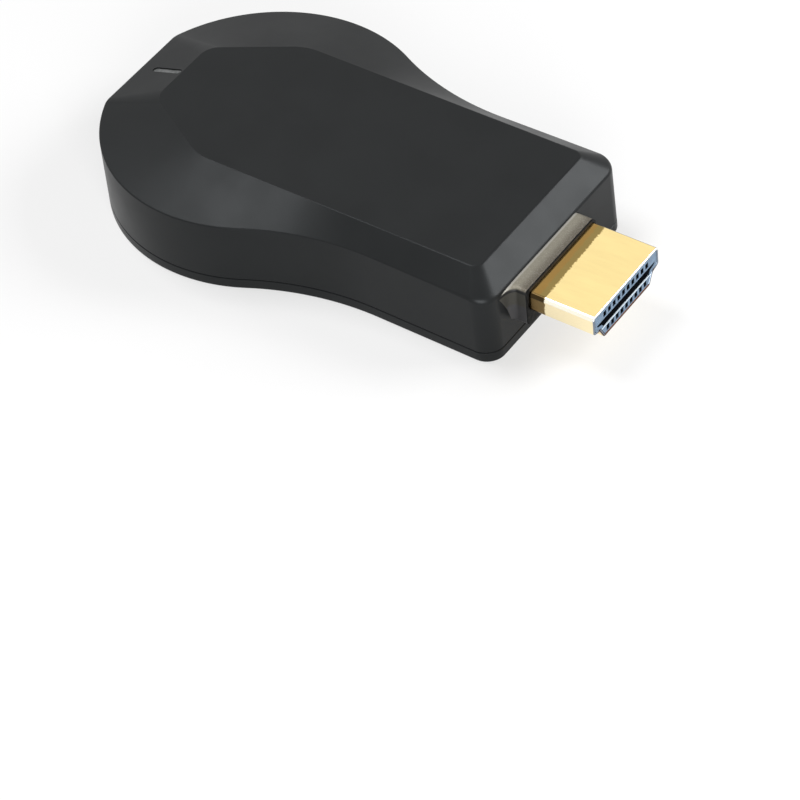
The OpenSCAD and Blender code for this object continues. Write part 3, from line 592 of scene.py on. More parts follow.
def prism(name, outline, axis, start, end):
    """A flat outline extruded along an axis; its points are the other two coordinates in order."""
    def place(p, along):
        return {"X": (along, p[0], p[1]), "Y": (p[0], along, p[1]), "Z": (p[0], p[1], along)}[axis]

    count = len(outline)
    points = [place(p, start) for p in outline] + [place(p, end) for p in outline]
    faces = [tuple(range(count)), tuple(range(count, 2 * count))]
    faces += [(i, (i + 1) % count, count + (i + 1) % count, count + i) for i in range(count)]
    return solid(name, points, faces)


def block(name, low, high):
    """A box between two corners."""
    outline = [(low[0], low[1]), (high[0], low[1]), (high[0], high[1]), (low[0], high[1])]
    return prism(name, outline, "Z", low[2], high[2])


def stadium(length, width, count=12, middle=(0, 0)):
    """A slot's outline with round ends, long along its first coordinate."""
    centre, half, radius = Vector(middle), (length - width) / 2, width / 2
    quarter = math.pi / 2
    right, left = centre + Vector((half, 0)), centre - Vector((half, 0))
    return [
        right + Vector((0, -radius)),
        *arc(right, radius, -quarter, quarter, count),
        left + Vector((0, radius)),
        *arc(left, radius, quarter, 3 * quarter, count),
    ]


def plain(piece):
    """Turns an object with modifiers into one with a plain mesh."""
    graph = bpy.context.evaluated_depsgraph_get()
    mesh = bpy.data.meshes.new_from_object(piece.evaluated_get(graph), depsgraph=graph)
    piece.modifiers.clear()
    piece.data = mesh
    mesh.name = piece.name
    return piece


def joined(piece, others, operation):
    """Adds other solids to a piece, or cuts them out of it, and removes them."""
    for other in others:
        change = piece.modifiers.new(operation.title(), "BOOLEAN")
        change.operation, change.solver, change.object = operation, "EXACT", other
    plain(piece)
    for other in others:
        bpy.data.objects.remove(other)
    return piece


def smooth(piece, sharp=30, bevel=0.0, segments=3):
    """Rounds edges if asked and shades a piece smooth, apart from edges sharper than some degrees."""
    for polygon in piece.data.polygons:
        polygon.use_smooth = True
    if bevel:
        edge = piece.modifiers.new("Edges", "BEVEL")
        edge.width, edge.segments, edge.limit_method = bevel, segments, "ANGLE"
        edge.angle_limit, edge.harden_normals = math.radians(sharp), False
        plain(piece)
    piece.data.set_sharp_from_angle(angle=math.radians(sharp))
    weights = piece.modifiers.new("Flats", "WEIGHTED_NORMAL")
    weights.keep_sharp, weights.weight = True, 80
    return plain(piece)


def finished(piece, coat, node, body=HOUSING):
    """Gives a piece its finish, says what it rides on, and hides the CAD node that it stands for."""
    piece.data.materials.clear()
    piece.data.materials.append(coat)
    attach(piece, body)
    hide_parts(node)


def add_node(tree, kind, inputs, **settings):
    """A new node with its settings; its inputs are values or other nodes' outputs."""
    made = tree.nodes.new(kind)
    for name, value in settings.items():
        setattr(made, name, value)
    for label, value in inputs.items():
        if isinstance(value, bpy.types.NodeSocket):
            tree.links.new(value, made.inputs[label])
        else:
            made.inputs[label].default_value = value
    return made


def new_tree(name, build, values):
    """A geometry tree with an input for each value, which ends in Realize Instances and Set Material."""
    tree = bpy.data.node_groups.new(name, "GeometryNodeTree")
    for way in ("INPUT", "OUTPUT"):
        tree.interface.new_socket("Geometry", in_out=way, socket_type="NodeSocketGeometry")
    for label, value in values.items():
        tree.interface.new_socket(label, in_out="INPUT", socket_type=SOCKET_KINDS[type(value)])
    given = tree.nodes.new("NodeGroupInput").outputs
    real = add_node(tree, "GeometryNodeRealizeInstances", {"Geometry": build(tree, given)})
    inputs = {"Geometry": real.outputs["Geometry"], "Material": given["Finish"]}
    dressed = add_node(tree, "GeometryNodeSetMaterial", inputs)
    add_node(tree, "NodeGroupOutput", {"Geometry": dressed.outputs["Geometry"]})
    return tree


def even_row(tree, given):
    """Nodes that repeat the given mesh along an even row."""
    inputs = {"Count": given["Count"], "Offset": given["Spacing"]}
    line = add_node(tree, "GeometryNodeMeshLine", inputs, mode="OFFSET")
    inputs = {"Points": line.outputs["Mesh"], "Instance": given["Geometry"]}
    return add_node(tree, "GeometryNodeInstanceOnPoints", inputs).outputs["Instances"]


def drawn_sleeve(tree, given):
    """Nodes that round the given outline's corners and draw it out along X."""
    curve = add_node(tree, "GeometryNodeMeshToCurve", {"Mesh": given["Geometry"]}).outputs["Curve"]
    inputs = {"Curve": curve, "Radius": given["Corner radius"], "Count": given["Corner steps"]}
    corners = add_node(tree, "GeometryNodeFilletCurve", inputs, mode="POLY").outputs["Curve"]
    outline = add_node(tree, "GeometryNodeCurveToMesh", {"Curve": corners}).outputs["Mesh"]
    way = add_node(tree, "ShaderNodeCombineXYZ", {"X": given["Length"]}).outputs["Vector"]
    inputs = {"Mesh": outline, "Offset": way}
    return add_node(tree, "GeometryNodeExtrudeMesh", inputs, mode="EDGES").outputs["Mesh"]


def run_tree(piece, name, build, values):
    """Runs a geometry tree on a piece, its inputs set by their identifiers, and keeps the result."""
    tree = bpy.data.node_groups.get(name) or new_tree(name, build, values)
    change = piece.modifiers.new(name, "NODES")
    change.node_group = tree
    for item in tree.interface.items_tree:
        if item.in_out == "INPUT" and item.name in values:
            change[item.identifier] = values[item.name]
    return plain(piece)


def row(piece, count, spacing, coat):
    """Repeats a piece along an even row."""
    return run_tree(piece, "Even row", even_row, {"Count": count, "Spacing": spacing, "Finish": coat})


def sleeve(name, outline, radius, start, end, thickness, bevel, coat):
    """A tube with a rounded profile, a wall drawn inwards and rounded rims."""
    count = len(outline)
    mesh = bpy.data.meshes.new(name)
    mesh.from_pydata([at(start, p.x, p.y) for p in outline], [(i, (i + 1) % count) for i in range(count)], [])
    piece = new_object(name, mesh)
    values = {"Corner radius": radius, "Corner steps": 8, "Length": end - start, "Finish": coat}
    run_tree(piece, "Drawn sleeve", drawn_sleeve, values)
    cleaned(piece.data)
    wall = piece.modifiers.new("Wall", "SOLIDIFY")
    wall.thickness, wall.offset, wall.use_even_offset = thickness, -1, True
    plain(piece)
    return smooth(piece, 40, bevel)


class Coat:
    """A finish built on Object coordinates: a principled surface with colour, gloss and grain."""

    def __init__(self, name, colour, roughness, metallic=0.0, specular=0.5):
        self.material = bpy.data.materials.new(name)
        self.material.use_nodes = True
        self.tree, self.colour = self.material.node_tree, (*colour, 1)
        self.shader = self.tree.nodes["Principled BSDF"].inputs
        self.shader["Base Color"].default_value = self.colour
        self.shader["Roughness"].default_value = roughness
        self.shader["Metallic"].default_value = metallic
        self.shader["Specular IOR Level"].default_value = specular
        self.place = self.tree.nodes.new("ShaderNodeTexCoord").outputs["Object"]

    def node(self, kind, output, inputs, **settings):
        """An output of a new node."""
        return add_node(self.tree, kind, inputs, **settings).outputs[output]

    def noise(self, grain, detail=2.0, scale=(1, 1, 1)):
        """Noise whose grains are about one grain long, in millimetres, stretched by a scale."""
        place = self.node("ShaderNodeMapping", "Vector", {"Vector": self.place, "Scale": scale})
        inputs = {"Vector": place, "Scale": 1 / (grain * MM), "Detail": detail}
        return self.node("ShaderNodeTexNoise", "Fac", inputs)

    def spread(self, value, low, high, to_low=0.0, to_high=1.0):
        """A value mapped smoothly from one range to another."""
        inputs = {"Value": value, "From Min": low, "From Max": high, "To Min": to_low, "To Max": to_high}
        return self.node("ShaderNodeMapRange", "Result", inputs, interpolation_type="SMOOTHSTEP")

    def past(self, value, place, start, end, *shares):
        """A share that changes between two distances past a place, both in millimetres."""
        return self.spread(value, place + start * MM, place + end * MM, *shares)

    def axis(self, name):
        """One Object coordinate, in metres."""
        return self.node("ShaderNodeSeparateXYZ", name, {"Vector": self.place})

    def calculated(self, operation, *values):
        """The result of a sum; each value is a socket or a number."""
        return self.node("ShaderNodeMath", "Value", dict(enumerate(values)), operation=operation)

    def times(self, first, second):
        """The product of two values."""
        return self.calculated("MULTIPLY", first, second)

    def over(self, share, colour):
        """Lays another colour over the surface where a share says so."""
        inputs = {"Factor": share, "A": self.colour, "B": (*colour, 1)}
        self.colour = self.node("ShaderNodeMix", "Result", inputs, data_type="RGBA")
        self.tree.links.new(self.colour, self.shader["Base Color"])

    def clouded(self, grain, colour, amount=1.0, detail=3.0, scale=(1, 1, 1)):
        """Faint clouds of another colour."""
        self.over(self.spread(self.noise(grain, detail, scale), 0.35, 0.65, 0, amount), colour)

    def worn_gloss(self, grain, low, high, scale=(1, 1, 1)):
        """Gloss that wanders between two roughnesses."""
        gloss = self.spread(self.noise(grain, 3.0, scale), 0.3, 0.7, low, high)
        self.tree.links.new(gloss, self.shader["Roughness"])

    def grained(self, grain, depth, detail=2.0, scale=(1, 1, 1)):
        """A fine relief, its depth in millimetres."""
        inputs = {"Strength": 1.0, "Distance": depth * MM, "Height": self.noise(grain, detail, scale)}
        self.tree.links.new(self.node("ShaderNodeBump", "Normal", inputs), self.shader["Normal"])


def toned(colour, tone):
    """A colour moved towards white by a share, or towards black where the share is negative."""
    if tone < 0:
        return tuple(c * (1 + tone) for c in colour)
    return tuple(c + (1 - c) * tone for c in colour)


def between_colours(first, second, share):
    """A colour between two others."""
    return tuple(a + (b - a) * share for a, b in zip(first, second))


def moulded_black(colours):
    """Satin black moulding with a fine texture and faint handling marks."""
    coat = Coat("moulded black", colours.case, 0.4, specular=0.15)
    coat.shader["Specular Tint"].default_value = (*colours.sheen, 1)
    coat.clouded(9, toned(colours.case, -0.14))
    coat.worn_gloss(6, 0.35, 0.41)
    coat.grained(0.09, 0.0012, 3.0)
    return coat.material


def gold_plating(colours, plug, root_x):
    """Polished gold plate with painted light: a darker painted reflection at the root, a pale painted
    highlight on the near edge, painted shade on the far edge and the root's near side, and a silvery mouth
    with a painted highlight on top and a brown painted shade line under it.
    """
    coat = Coat("gold plating", colours.gold, 0.2, metallic=1.0)
    coat.clouded(0.6, toned(colours.gold, -0.03), scale=(0.15, 1, 1))
    x, y, z = (coat.axis(name) for name in "XYZ")
    tip, near, far = FRONT_X + plug.out, plug.middle_y - plug.width / 2, plug.middle_y + plug.width / 2
    low, top = plug.middle_z - plug.height / 2, plug.middle_z + plug.height / 2
    # Painted light: the near side is lighter, and a painted highlight runs along its upper edge.
    near_side_highlight = coat.past(y, near, 0.3, 0.5, 1, 0)
    coat.over(near_side_highlight, between_colours(colours.gold, colours.edge, 0.45))
    coat.over(coat.times(near_side_highlight, coat.past(z, top, -0.6, -0.45)), colours.edge)
    # Painted shade: brown along the far upper edge.
    far_edge_shade = coat.times(coat.past(y, far, -0.32, -0.2), coat.past(z, top, -0.4, -0.25))
    coat.over(far_edge_shade, colours.burnt)
    # Painted reflection: a ragged, slanted darker band at the root of the gold.
    ragged = coat.calculated("ADD", x, coat.spread(coat.noise(0.25, 3.0), 0.3, 0.7, 0, 0.2 * MM))
    slant = coat.times(coat.calculated("SUBTRACT", y, far), plug.root_slant)
    ragged = coat.calculated("ADD", ragged, slant)
    root = coat.past(ragged, root_x, 0, 0.22, 1, 0)
    coat.over(root, colours.amber)
    # The painted reflection next to the seal, and duller towards the band's end.
    beside_seal_reflection = coat.past(x, root_x - plug.root, 0, 0.5, 1, 0)
    coat.over(beside_seal_reflection, between_colours(colours.amber, colours.gold, 0.12))
    coat.over(coat.times(root, coat.past(ragged, root_x, -0.9, -0.5, 0, 0.8)), colours.olive)
    # Painted shade on the root's near side, with a painted shadow line along its upper edge.
    near_root = coat.times(root, coat.past(y, near, 0.3, 0.5, 0.85, 0))
    coat.over(near_root, colours.near_root)
    coat.over(coat.times(near_root, coat.past(z, top, -0.65, -0.5)), colours.near_root_shadow_line)
    # The mouth is shaded metal at the tip, with a painted highlight along the top of its rim.
    mouth = coat.past(x, tip, -0.16, -0.05)
    coat.over(mouth, colours.mouth)
    coat.over(coat.times(mouth, coat.past(z, top, -0.45, -0.35)), colours.rim)
    # Painted shade: brown on the lower part of the tip's rim, below the shoulders and along the bottom.
    level_z = coat.calculated("SUBTRACT", z, plug.middle_z)
    beside = coat.calculated("ABSOLUTE", coat.calculated("SUBTRACT", y, plug.middle_y))
    lean = plug.base_in / (plug.height - plug.side_height - plug.shoulder_fall)
    flank = coat.calculated("SUBTRACT", beside, coat.times(level_z, lean))
    beyond = coat.past(flank, plug.width / 2 - plug.shoulder_in, 0.22, 0.28)
    under = coat.times(beyond, coat.past(level_z, 0, -0.42, -0.36, 1, 0))
    under = coat.calculated("MAXIMUM", under, coat.past(z, low, 0.3, 0.35, 1, 0))
    coat.over(coat.times(mouth, under), colours.burnt)
    coat.worn_gloss(2, 0.16, 0.26, (0.3, 1, 1))
    coat.grained(0.15, 0.0009, 2.0, (0.2, 1, 1))
    return coat.material


def insulator_blue(colours, face_x, floor_z):
    """Blue-grey moulding of the plug's insulator, with painted shade down in its slots and a painted
    highlight at the cavity's sill.
    """
    coat = Coat("insulator blue", colours.insulator, 0.35, specular=0.4)
    coat.clouded(0.8, toned(colours.insulator, -0.25))
    # Painted shade: everything behind the insulator's face, down in the slots and the cavity, goes nearly
    # black.
    coat.over(coat.past(coat.axis("X"), face_x, -0.08, -0.02, 1, 0), colours.slot)
    # Painted highlight: a pale band along the cavity's floor just behind the face.
    off_floor = coat.calculated("ABSOLUTE", coat.calculated("SUBTRACT", coat.axis("Z"), floor_z))
    sill = coat.times(
        coat.past(off_floor, 0, 0.03, 0.08, 1, 0), coat.past(coat.axis("X"), face_x, -0.16, -0.12)
    )
    coat.over(sill, colours.sill)
    coat.grained(0.12, 0.002)
    return coat.material


def satin_collar(colours, front_x, top):
    """Blasted metal collar: speckled warm grey on top, darker towards its front, with a painted highlight
    along its back edge and painted shade on its sides below.
    """
    coat = Coat("satin collar", colours.collar, 0.5, metallic=0.35, specular=0.4)
    x, bright = coat.axis("X"), toned(colours.collar, 0.2)
    coat.over(coat.past(x, front_x, -1.5, -0.2, 0, 0.85), colours.collar_front)
    coat.over(coat.spread(coat.noise(0.14, 4.0), 0.45, 0.75, 0, 0.4), bright)
    coat.over(coat.spread(coat.noise(0.1, 2.0), 0.3, 0.5, 0.3, 0), toned(colours.collar, -0.5))
    # Painted highlight along the back edge of the collar's top.
    coat.over(coat.past(x, front_x, -2.1, -1.85, 0.8, 0), bright)
    z = coat.axis("Z")
    # Painted shade: a black line under the upper edge, then darker greys down the collar's side and foot.
    coat.over(coat.past(z, top, -0.3, -0.1, 1, 0), colours.collar_shade_line)
    coat.over(coat.past(z, top, -0.65, -0.5, 1, 0), colours.collar_side_shade)
    coat.over(coat.past(z, top, -2.7, -2.3, 1, 0), colours.collar_foot_shade)
    coat.grained(0.1, 0.006, 3.0)
    return coat.material


def table_finish(colours, name):
    """A plain finish from the table: a colour, faint clouds of another and a fine grain."""
    colour, tone, roughness, metallic, specular, cloud, cloud_tone, size, grain, depth = FINISHES[name]
    coat = Coat(name, toned(getattr(colours, colour), tone), roughness, metallic, specular)
    coat.clouded(size, toned(getattr(colours, cloud), cloud_tone))
    coat.grained(grain, depth)
    return coat.material


def tinned_steel(colours):
    """Stamped and tinned steel with faint rolling marks."""
    coat = Coat("tinned steel", colours.steel, 0.3, metallic=1.0)
    coat.clouded(1.2, toned(colours.steel, -0.25), scale=(0.2, 1, 1))
    coat.worn_gloss(0.8, 0.24, 0.42, (0.1, 1, 1))
    coat.grained(0.07, 0.0012, 2.0, (0.1, 1, 1))
    return coat.material


def solder_mask(colours):
    """Green board with copper tracks under its mask."""
    coat = Coat("solder mask", colours.board, 0.3, specular=0.5)
    coat.clouded(0.7, toned(colours.board, 0.12), detail=0.0, scale=(0.12, 1, 1))
    coat.clouded(0.7, toned(colours.board, -0.4), detail=0.0, scale=(1, 0.12, 1))
    coat.grained(0.25, 0.01)
    return coat.material


def finish(name):
    """A finish by its name, made once."""
    colours = bpy.context.scene.stick_colours
    made = bpy.data.materials.get(name)
    if made is None:
        own = {"tinned steel": tinned_steel, "solder mask": solder_mask}
        made = own[name](colours) if name in own else table_finish(colours, name)
    return made


def plug_outline(plug, amount=0.0):
    """The plug's profile in Y and Z, all its sides moved out by an amount."""
    top, side = plug.height / 2, plug.width / 2
    low = top - plug.side_height
    shoulder = side - plug.shoulder_in
    base = shoulder - plug.base_in
    right = [(side, low), (side, top)]
    left = [(-side, top), (-side, low)]
    fall = low - plug.shoulder_fall
    below = [(-shoulder, fall), (-base, -top), (base, -top), (shoulder, fall)]
    middle = Vector((plug.middle_y, plug.middle_z))
    points = [middle + Vector(p) for p in (*right, *left, *below)]
    return grown(points, amount)


def collar_outline(plug, amount=0.0):
    """The upright rectangle round the plug, with one point for each point of the plug's profile."""
    top, side = plug.height / 2, plug.width / 2
    base = side - plug.shoulder_in - plug.base_in
    shape = [
        (side, top - MM), (side, top), (-side, top), (-side, top - MM),
        (-side, -top), (-base, -top), (base, -top), (side, -top),
    ]
    middle = Vector((plug.middle_y, plug.middle_z))
    return grown([middle + Vector(p) for p in shape], amount)


def collar_corners(collar, amount=0.0):
    """Radii of the corners of the collar's outline, the far upper one the largest."""
    return [collar.radius + amount, collar.far_radius + amount, *[collar.radius + amount] * 6]


def socket_outline(socket, amount=0.0):
    """The power socket's profile in Y and Z, its chamfers facing down."""
    side, top, cut = socket.width / 2, socket.height / 2, socket.chamfer
    middle = Vector((0, socket.top_z - socket.height / 2))
    below = [(-side, cut - top), (cut - side, -top), (side - cut, -top), (side, cut - top)]
    shape = [(side, top), (-side, top), *below]
    return grown([middle + Vector(p) for p in shape], amount)


def rib_boxes(case, form, play, reach):
    """Boxes of the snap ribs, grown by some play and reaching into the lip or the wall."""
    made = []
    places = (
        (-case.front_rib, form.flank_y(case.front_rib)),
        (-form.round_x, case.round_diameter / 2),
    )
    slip, middle_z = bpy.context.scene.stick_collar.slip, case.seam_height + case.lip_height / 2
    half_x, half_z = case.rib_length / 2 + play, case.rib_height / 2 + play
    for x, y in places:
        for side in (-1, 1):
            inner, outer = y - case.wall - slip - reach, y - case.wall - slip + case.rib_out + play
            low_y, high_y = sorted((side * inner, side * outer))
            low = (x - half_x, low_y, middle_z - half_z)
            made.append(block("rib", low, (x + half_x, high_y, middle_z + half_z)))
    return made


def rods(places, diameter, low, high):
    """Upright round bars, mirrored across the case's middle."""
    return [
        prism("rod", stadium(diameter, diameter, 16, (x, side * y)), "Z", low, high)
        for x, y in places
        for side in (-1, 1)
    ]


def make_upper_case(scene):
    """The upper shell with its sloped top, flat plate, and openings for plug, socket, button and window."""
    case, plug, collar = scene.stick_case, scene.stick_plug, scene.stick_collar
    form = CaseForm(case, scene.stick_plate)
    outline, plate, heights = form.half(0), form.half_plate(0), form.rim_heights()
    foot = case.seam_height + case.seam_gap
    plate_ring = mirrored(raised(plate, case.height))
    feet = form.leaning(0, foot)
    columns = []
    for i, (rim, edge, height) in enumerate(zip(outline, plate, heights)):
        low, high = Vector((rim.x, rim.y, height)), Vector((edge.x, edge.y, case.height))
        tangent = plate_ring[i + 1] - plate_ring[i - 1]
        inward = Vector((-tangent.y, tangent.x, 0))
        share = form.corner_share(i)
        rim_radius = case.rim_radius + (case.corner_rim_radius - case.rim_radius) * share
        plate_radius = case.plate_radius + (case.corner_plate_radius - case.plate_radius) * share
        columns.append(
            edge_arc(low, feet[i] - low, high - low, rim_radius, 5)
            + edge_arc(high, low - high, inward, plate_radius, 4)
        )
    arcs = [mirrored([column[k] for column in columns]) for k in range(len(columns[0]))]
    slope = math.atan2(case.height - case.rim_height, (case.neck_width - scene.stick_plate.width) / 2)
    drop = case.wall * (1 / math.cos(slope) - math.tan(slope))
    draw = case.wall * (1 / math.cos(slope) - 1) / math.tan(slope)
    inner = form.half(case.wall)
    rings = [
        mirrored(raised(form.half_plate(draw), case.height - case.wall)),
        mirrored([Vector((p.x, p.y, h - drop)) for p, h in zip(inner, heights)]),
        mirrored(raised(inner, foot)),
        mirrored(form.leaning(case.seam_bevel, foot)),
        mirrored(form.leaning(0, foot + case.seam_bevel)),
        *arcs,
    ]
    shell = skinned("upper_case", rings, "strips")
    slip = collar.slip
    collar_room = collar.thickness + 2 * slip
    socket, button, window = scene.stick_socket, scene.stick_button, scene.stick_window
    button_middle = middle_of("function_button").xz
    run = case.wall + collar.flange_depth + 2 * slip
    cuts = [
        prism(
            "collar room", rounded(collar_outline(plug, collar_room), collar_corners(collar)),
            "X", -run, case.front_lean + MM,
        ),
        prism(
            "socket room", rounded(socket_outline(socket, socket.lip + socket.room), socket.radius),
            "X", -case.length - MM, -case.length + case.wall + 2 * socket.room,
        ),
        prism(
            "button room",
            stadium(button.length + 2 * button.gap, button.height + 2 * button.gap, middle=button_middle),
            "Y", form.flank_y(-button_middle[0]) - 2 * case.wall, case.neck_width,
        ),
        prism(
            "window room",
            stadium(window.length, window.width, middle=(-case.length + window.middle, 0)),
            "Z", case.rim_height - 2 * case.wall, case.height + MM,
        ),
    ]
    joined(shell, cuts + rib_boxes(case, form, slip, 2 * slip), "DIFFERENCE")
    places = [(-form.round_x, case.round_diameter / 2 - case.holder_inset)]
    board_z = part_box("main_board")[1].z
    joined(shell, rods(places, case.holder, board_z + slip, case.height - case.wall), "UNION")
    return smooth(shell, 28)


def make_lower_case(scene):
    """The thin lower shell with its lip, screw posts and the recess for the label."""
    case = scene.stick_case
    form = CaseForm(case, scene.stick_plate)
    slip, turns = scene.stick_collar.slip, 6
    rings = []
    for k in range(turns + 1):
        angle = math.pi / 2 * k / turns
        inset = case.base_radius * (1 - math.sin(angle))
        rings.append(mirrored(form.leaning(inset, case.base_radius * (1 - math.cos(angle)))))
    top = case.seam_height
    rings += [mirrored(form.leaning(0, top - case.seam_bevel)), mirrored(form.leaning(case.seam_bevel, top))]
    steps = [
        (case.wall + slip, top),
        (case.wall + slip, top + case.lip_height),
        (case.wall + slip + case.lip_width, top + case.lip_height),
        (case.wall + slip + case.lip_width, top),
    ]
    rings += [mirrored(raised(form.half(inset), z)) for inset, z in steps]
    shell = skinned("lower_case", rings, "strips")
    label_low, label_high = span("label_blank")
    room = Vector((slip, slip, 0))
    recess = block("label room", (*(label_low - room).xy, -MM), label_high + room)
    board_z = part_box("main_board")[0].z
    back = Vector((math.cos(BACK_POST_ANGLE), math.sin(BACK_POST_ANGLE)))
    back_post = form.centre + back * (case.round_diameter / 2 - case.post_inset)
    places = [(-case.front_post, case.neck_width / 2 - case.post_inset), tuple(back_post)]
    joined(shell, rods(places, case.post, top - case.post_foot, board_z), "UNION")
    joined(shell, rib_boxes(case, form, 0, case.lip_width / 2), "UNION")
    bores = rods(places, case.post_bore, board_z - case.bore_depth, board_z + MM)
    joined(shell, [recess, *bores], "DIFFERENCE")
    return smooth(shell, 28)


class STICK_OT_case(bpy.types.Operator):
    """Make the two covers of the case"""

    bl_idname = "stick.case"
    bl_label = "Case"

    def execute(self, context):
        scene = context.scene
        coat = moulded_black(scene.stick_colours)
        finished(make_upper_case(scene), coat, "top_cover")
        finished(make_lower_case(scene), coat, "bottom_cover")
        return {"FINISHED"}


class STICK_OT_plug(bpy.types.Operator):
    """Make the display plug's shell, insulator and contacts"""

    bl_idname = "stick.plug"
    bl_label = "Display plug"

    def execute(self, context):
        scene = context.scene
        plug, collar, colours = scene.stick_plug, scene.stick_collar, scene.stick_colours
        gold = gold_plating(colours, plug, FRONT_X + collar.out + collar.seal + plug.root)
        shell = sleeve(
            "display_plug_shell", plug_outline(plug), plug.radius, -plug.inside - plug.shell_back, plug.out,
            plug.metal, plug.tip_bevel, gold,
        )
        board_low, board_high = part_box("main_board")
        legs = []
        for side in (-1, 1):
            edge = plug.width / 2 - plug.leg_inset
            inner, outer = sorted((side * (edge - plug.leg_width), side * edge))
            low = (-plug.leg_reach, plug.middle_y + inner, board_high.z)
            high = (-plug.inside - plug.leg_gap, plug.middle_y + outer, board_high.z + plug.metal)
            legs.append(block("leg", low, high))
        smooth(joined(shell, legs, "UNION"), 40)
        finished(shell, gold, "plug_shell")
        floor_z = plug.middle_z - plug.cavity_fall - plug.cavity_height / 2
        blue = insulator_blue(colours, FRONT_X + plug.out - plug.insulator_back, floor_z)
        self.insulator(plug, collar.slip, blue)
        plating = finish("contact plating")
        upper, lower = plug.middle_z + plug.upper_rise, plug.middle_z - plug.lower_fall
        rows = (
            ("upper_contact_row", plug.upper_count, upper, board_high.z, 1, "upper_contacts"),
            ("lower_contact_row", plug.lower_count, lower, board_low.z, -1, "lower_contacts"),
        )
        for name, count, z, face, side, node in rows:
            self.contact_row(name, plug, count, z, face, side, plating, node)
        return {"FINISHED"}

    def insulator(self, plug, slip, coat):
        """A block with rows of slots and the cavity between them."""
        face = plug.out - plug.insulator_back
        outline = rounded(plug_outline(plug, -plug.metal - slip), plug.radius / 2)
        body = prism("display_plug_insulator", outline, "X", -plug.inside, face)
        cuts = []
        rows = (
            (plug.upper_count, plug.middle_z + plug.upper_rise, plug.upper_slot_height),
            (plug.lower_count, plug.middle_z - plug.lower_fall, plug.lower_slot_height),
        )
        for count, z, height in rows:
            y = plug.middle_y - (count - 1) / 2 * plug.pitch
            half = plug.slot_width / 2
            slot = block(
                "slot", (-plug.inside - MM, y - half, z - height / 2), (plug.out, y + half, z + height / 2)
            )
            cuts.append(row(slot, count, (0, plug.pitch, 0), coat))
        wall = plug.metal + slip + plug.cavity_wall
        z, half_h = plug.middle_z - plug.cavity_fall, plug.cavity_height / 2
        inner = rounded(plug_outline(plug, -wall), plug.radius)
        cavity = prism("cavity", inner, "X", face - plug.cavity_depth, plug.out)
        band = block("band", (-plug.inside, -plug.width, z - half_h), (plug.out + MM, plug.width, z + half_h))
        cuts.append(joined(cavity, [band], "INTERSECT"))
        joined(body, cuts, "DIFFERENCE")
        finished(smooth(body, 30), coat, "plug_insulator")

    def contact_row(self, name, plug, count, z, face, side, coat, node):
        """Contacts: a straight run in the slot, a knee behind it and a tail on the board."""
        half, metal = plug.contact_width / 2, plug.contact_metal / 2
        tail_x, front_x = (corner.x for corner in span(node))
        knee_x, level_z = -plug.inside - plug.knee, face + side * metal
        path = [(tail_x, level_z), (knee_x, level_z), (knee_x, z), (front_x, z)]
        y = plug.middle_y - (count - 1) / 2 * plug.pitch
        upper = [(x, h + metal) for x, h in path]
        lower = [(x, h - metal) for x, h in path]
        step = metal if (z - face) * side > 0 else -metal
        upper[1], upper[2] = (knee_x - step, upper[1][1]), (knee_x - step, upper[2][1])
        lower[1], lower[2] = (knee_x + step, lower[1][1]), (knee_x + step, lower[2][1])
        bar = prism(name, upper + lower[::-1], "Y", y - half, y + half)
        smooth(bar, 30, FINE_EDGE, 2)
        row(bar, count, (0, plug.pitch, 0), coat)
        finished(bar, coat, node)


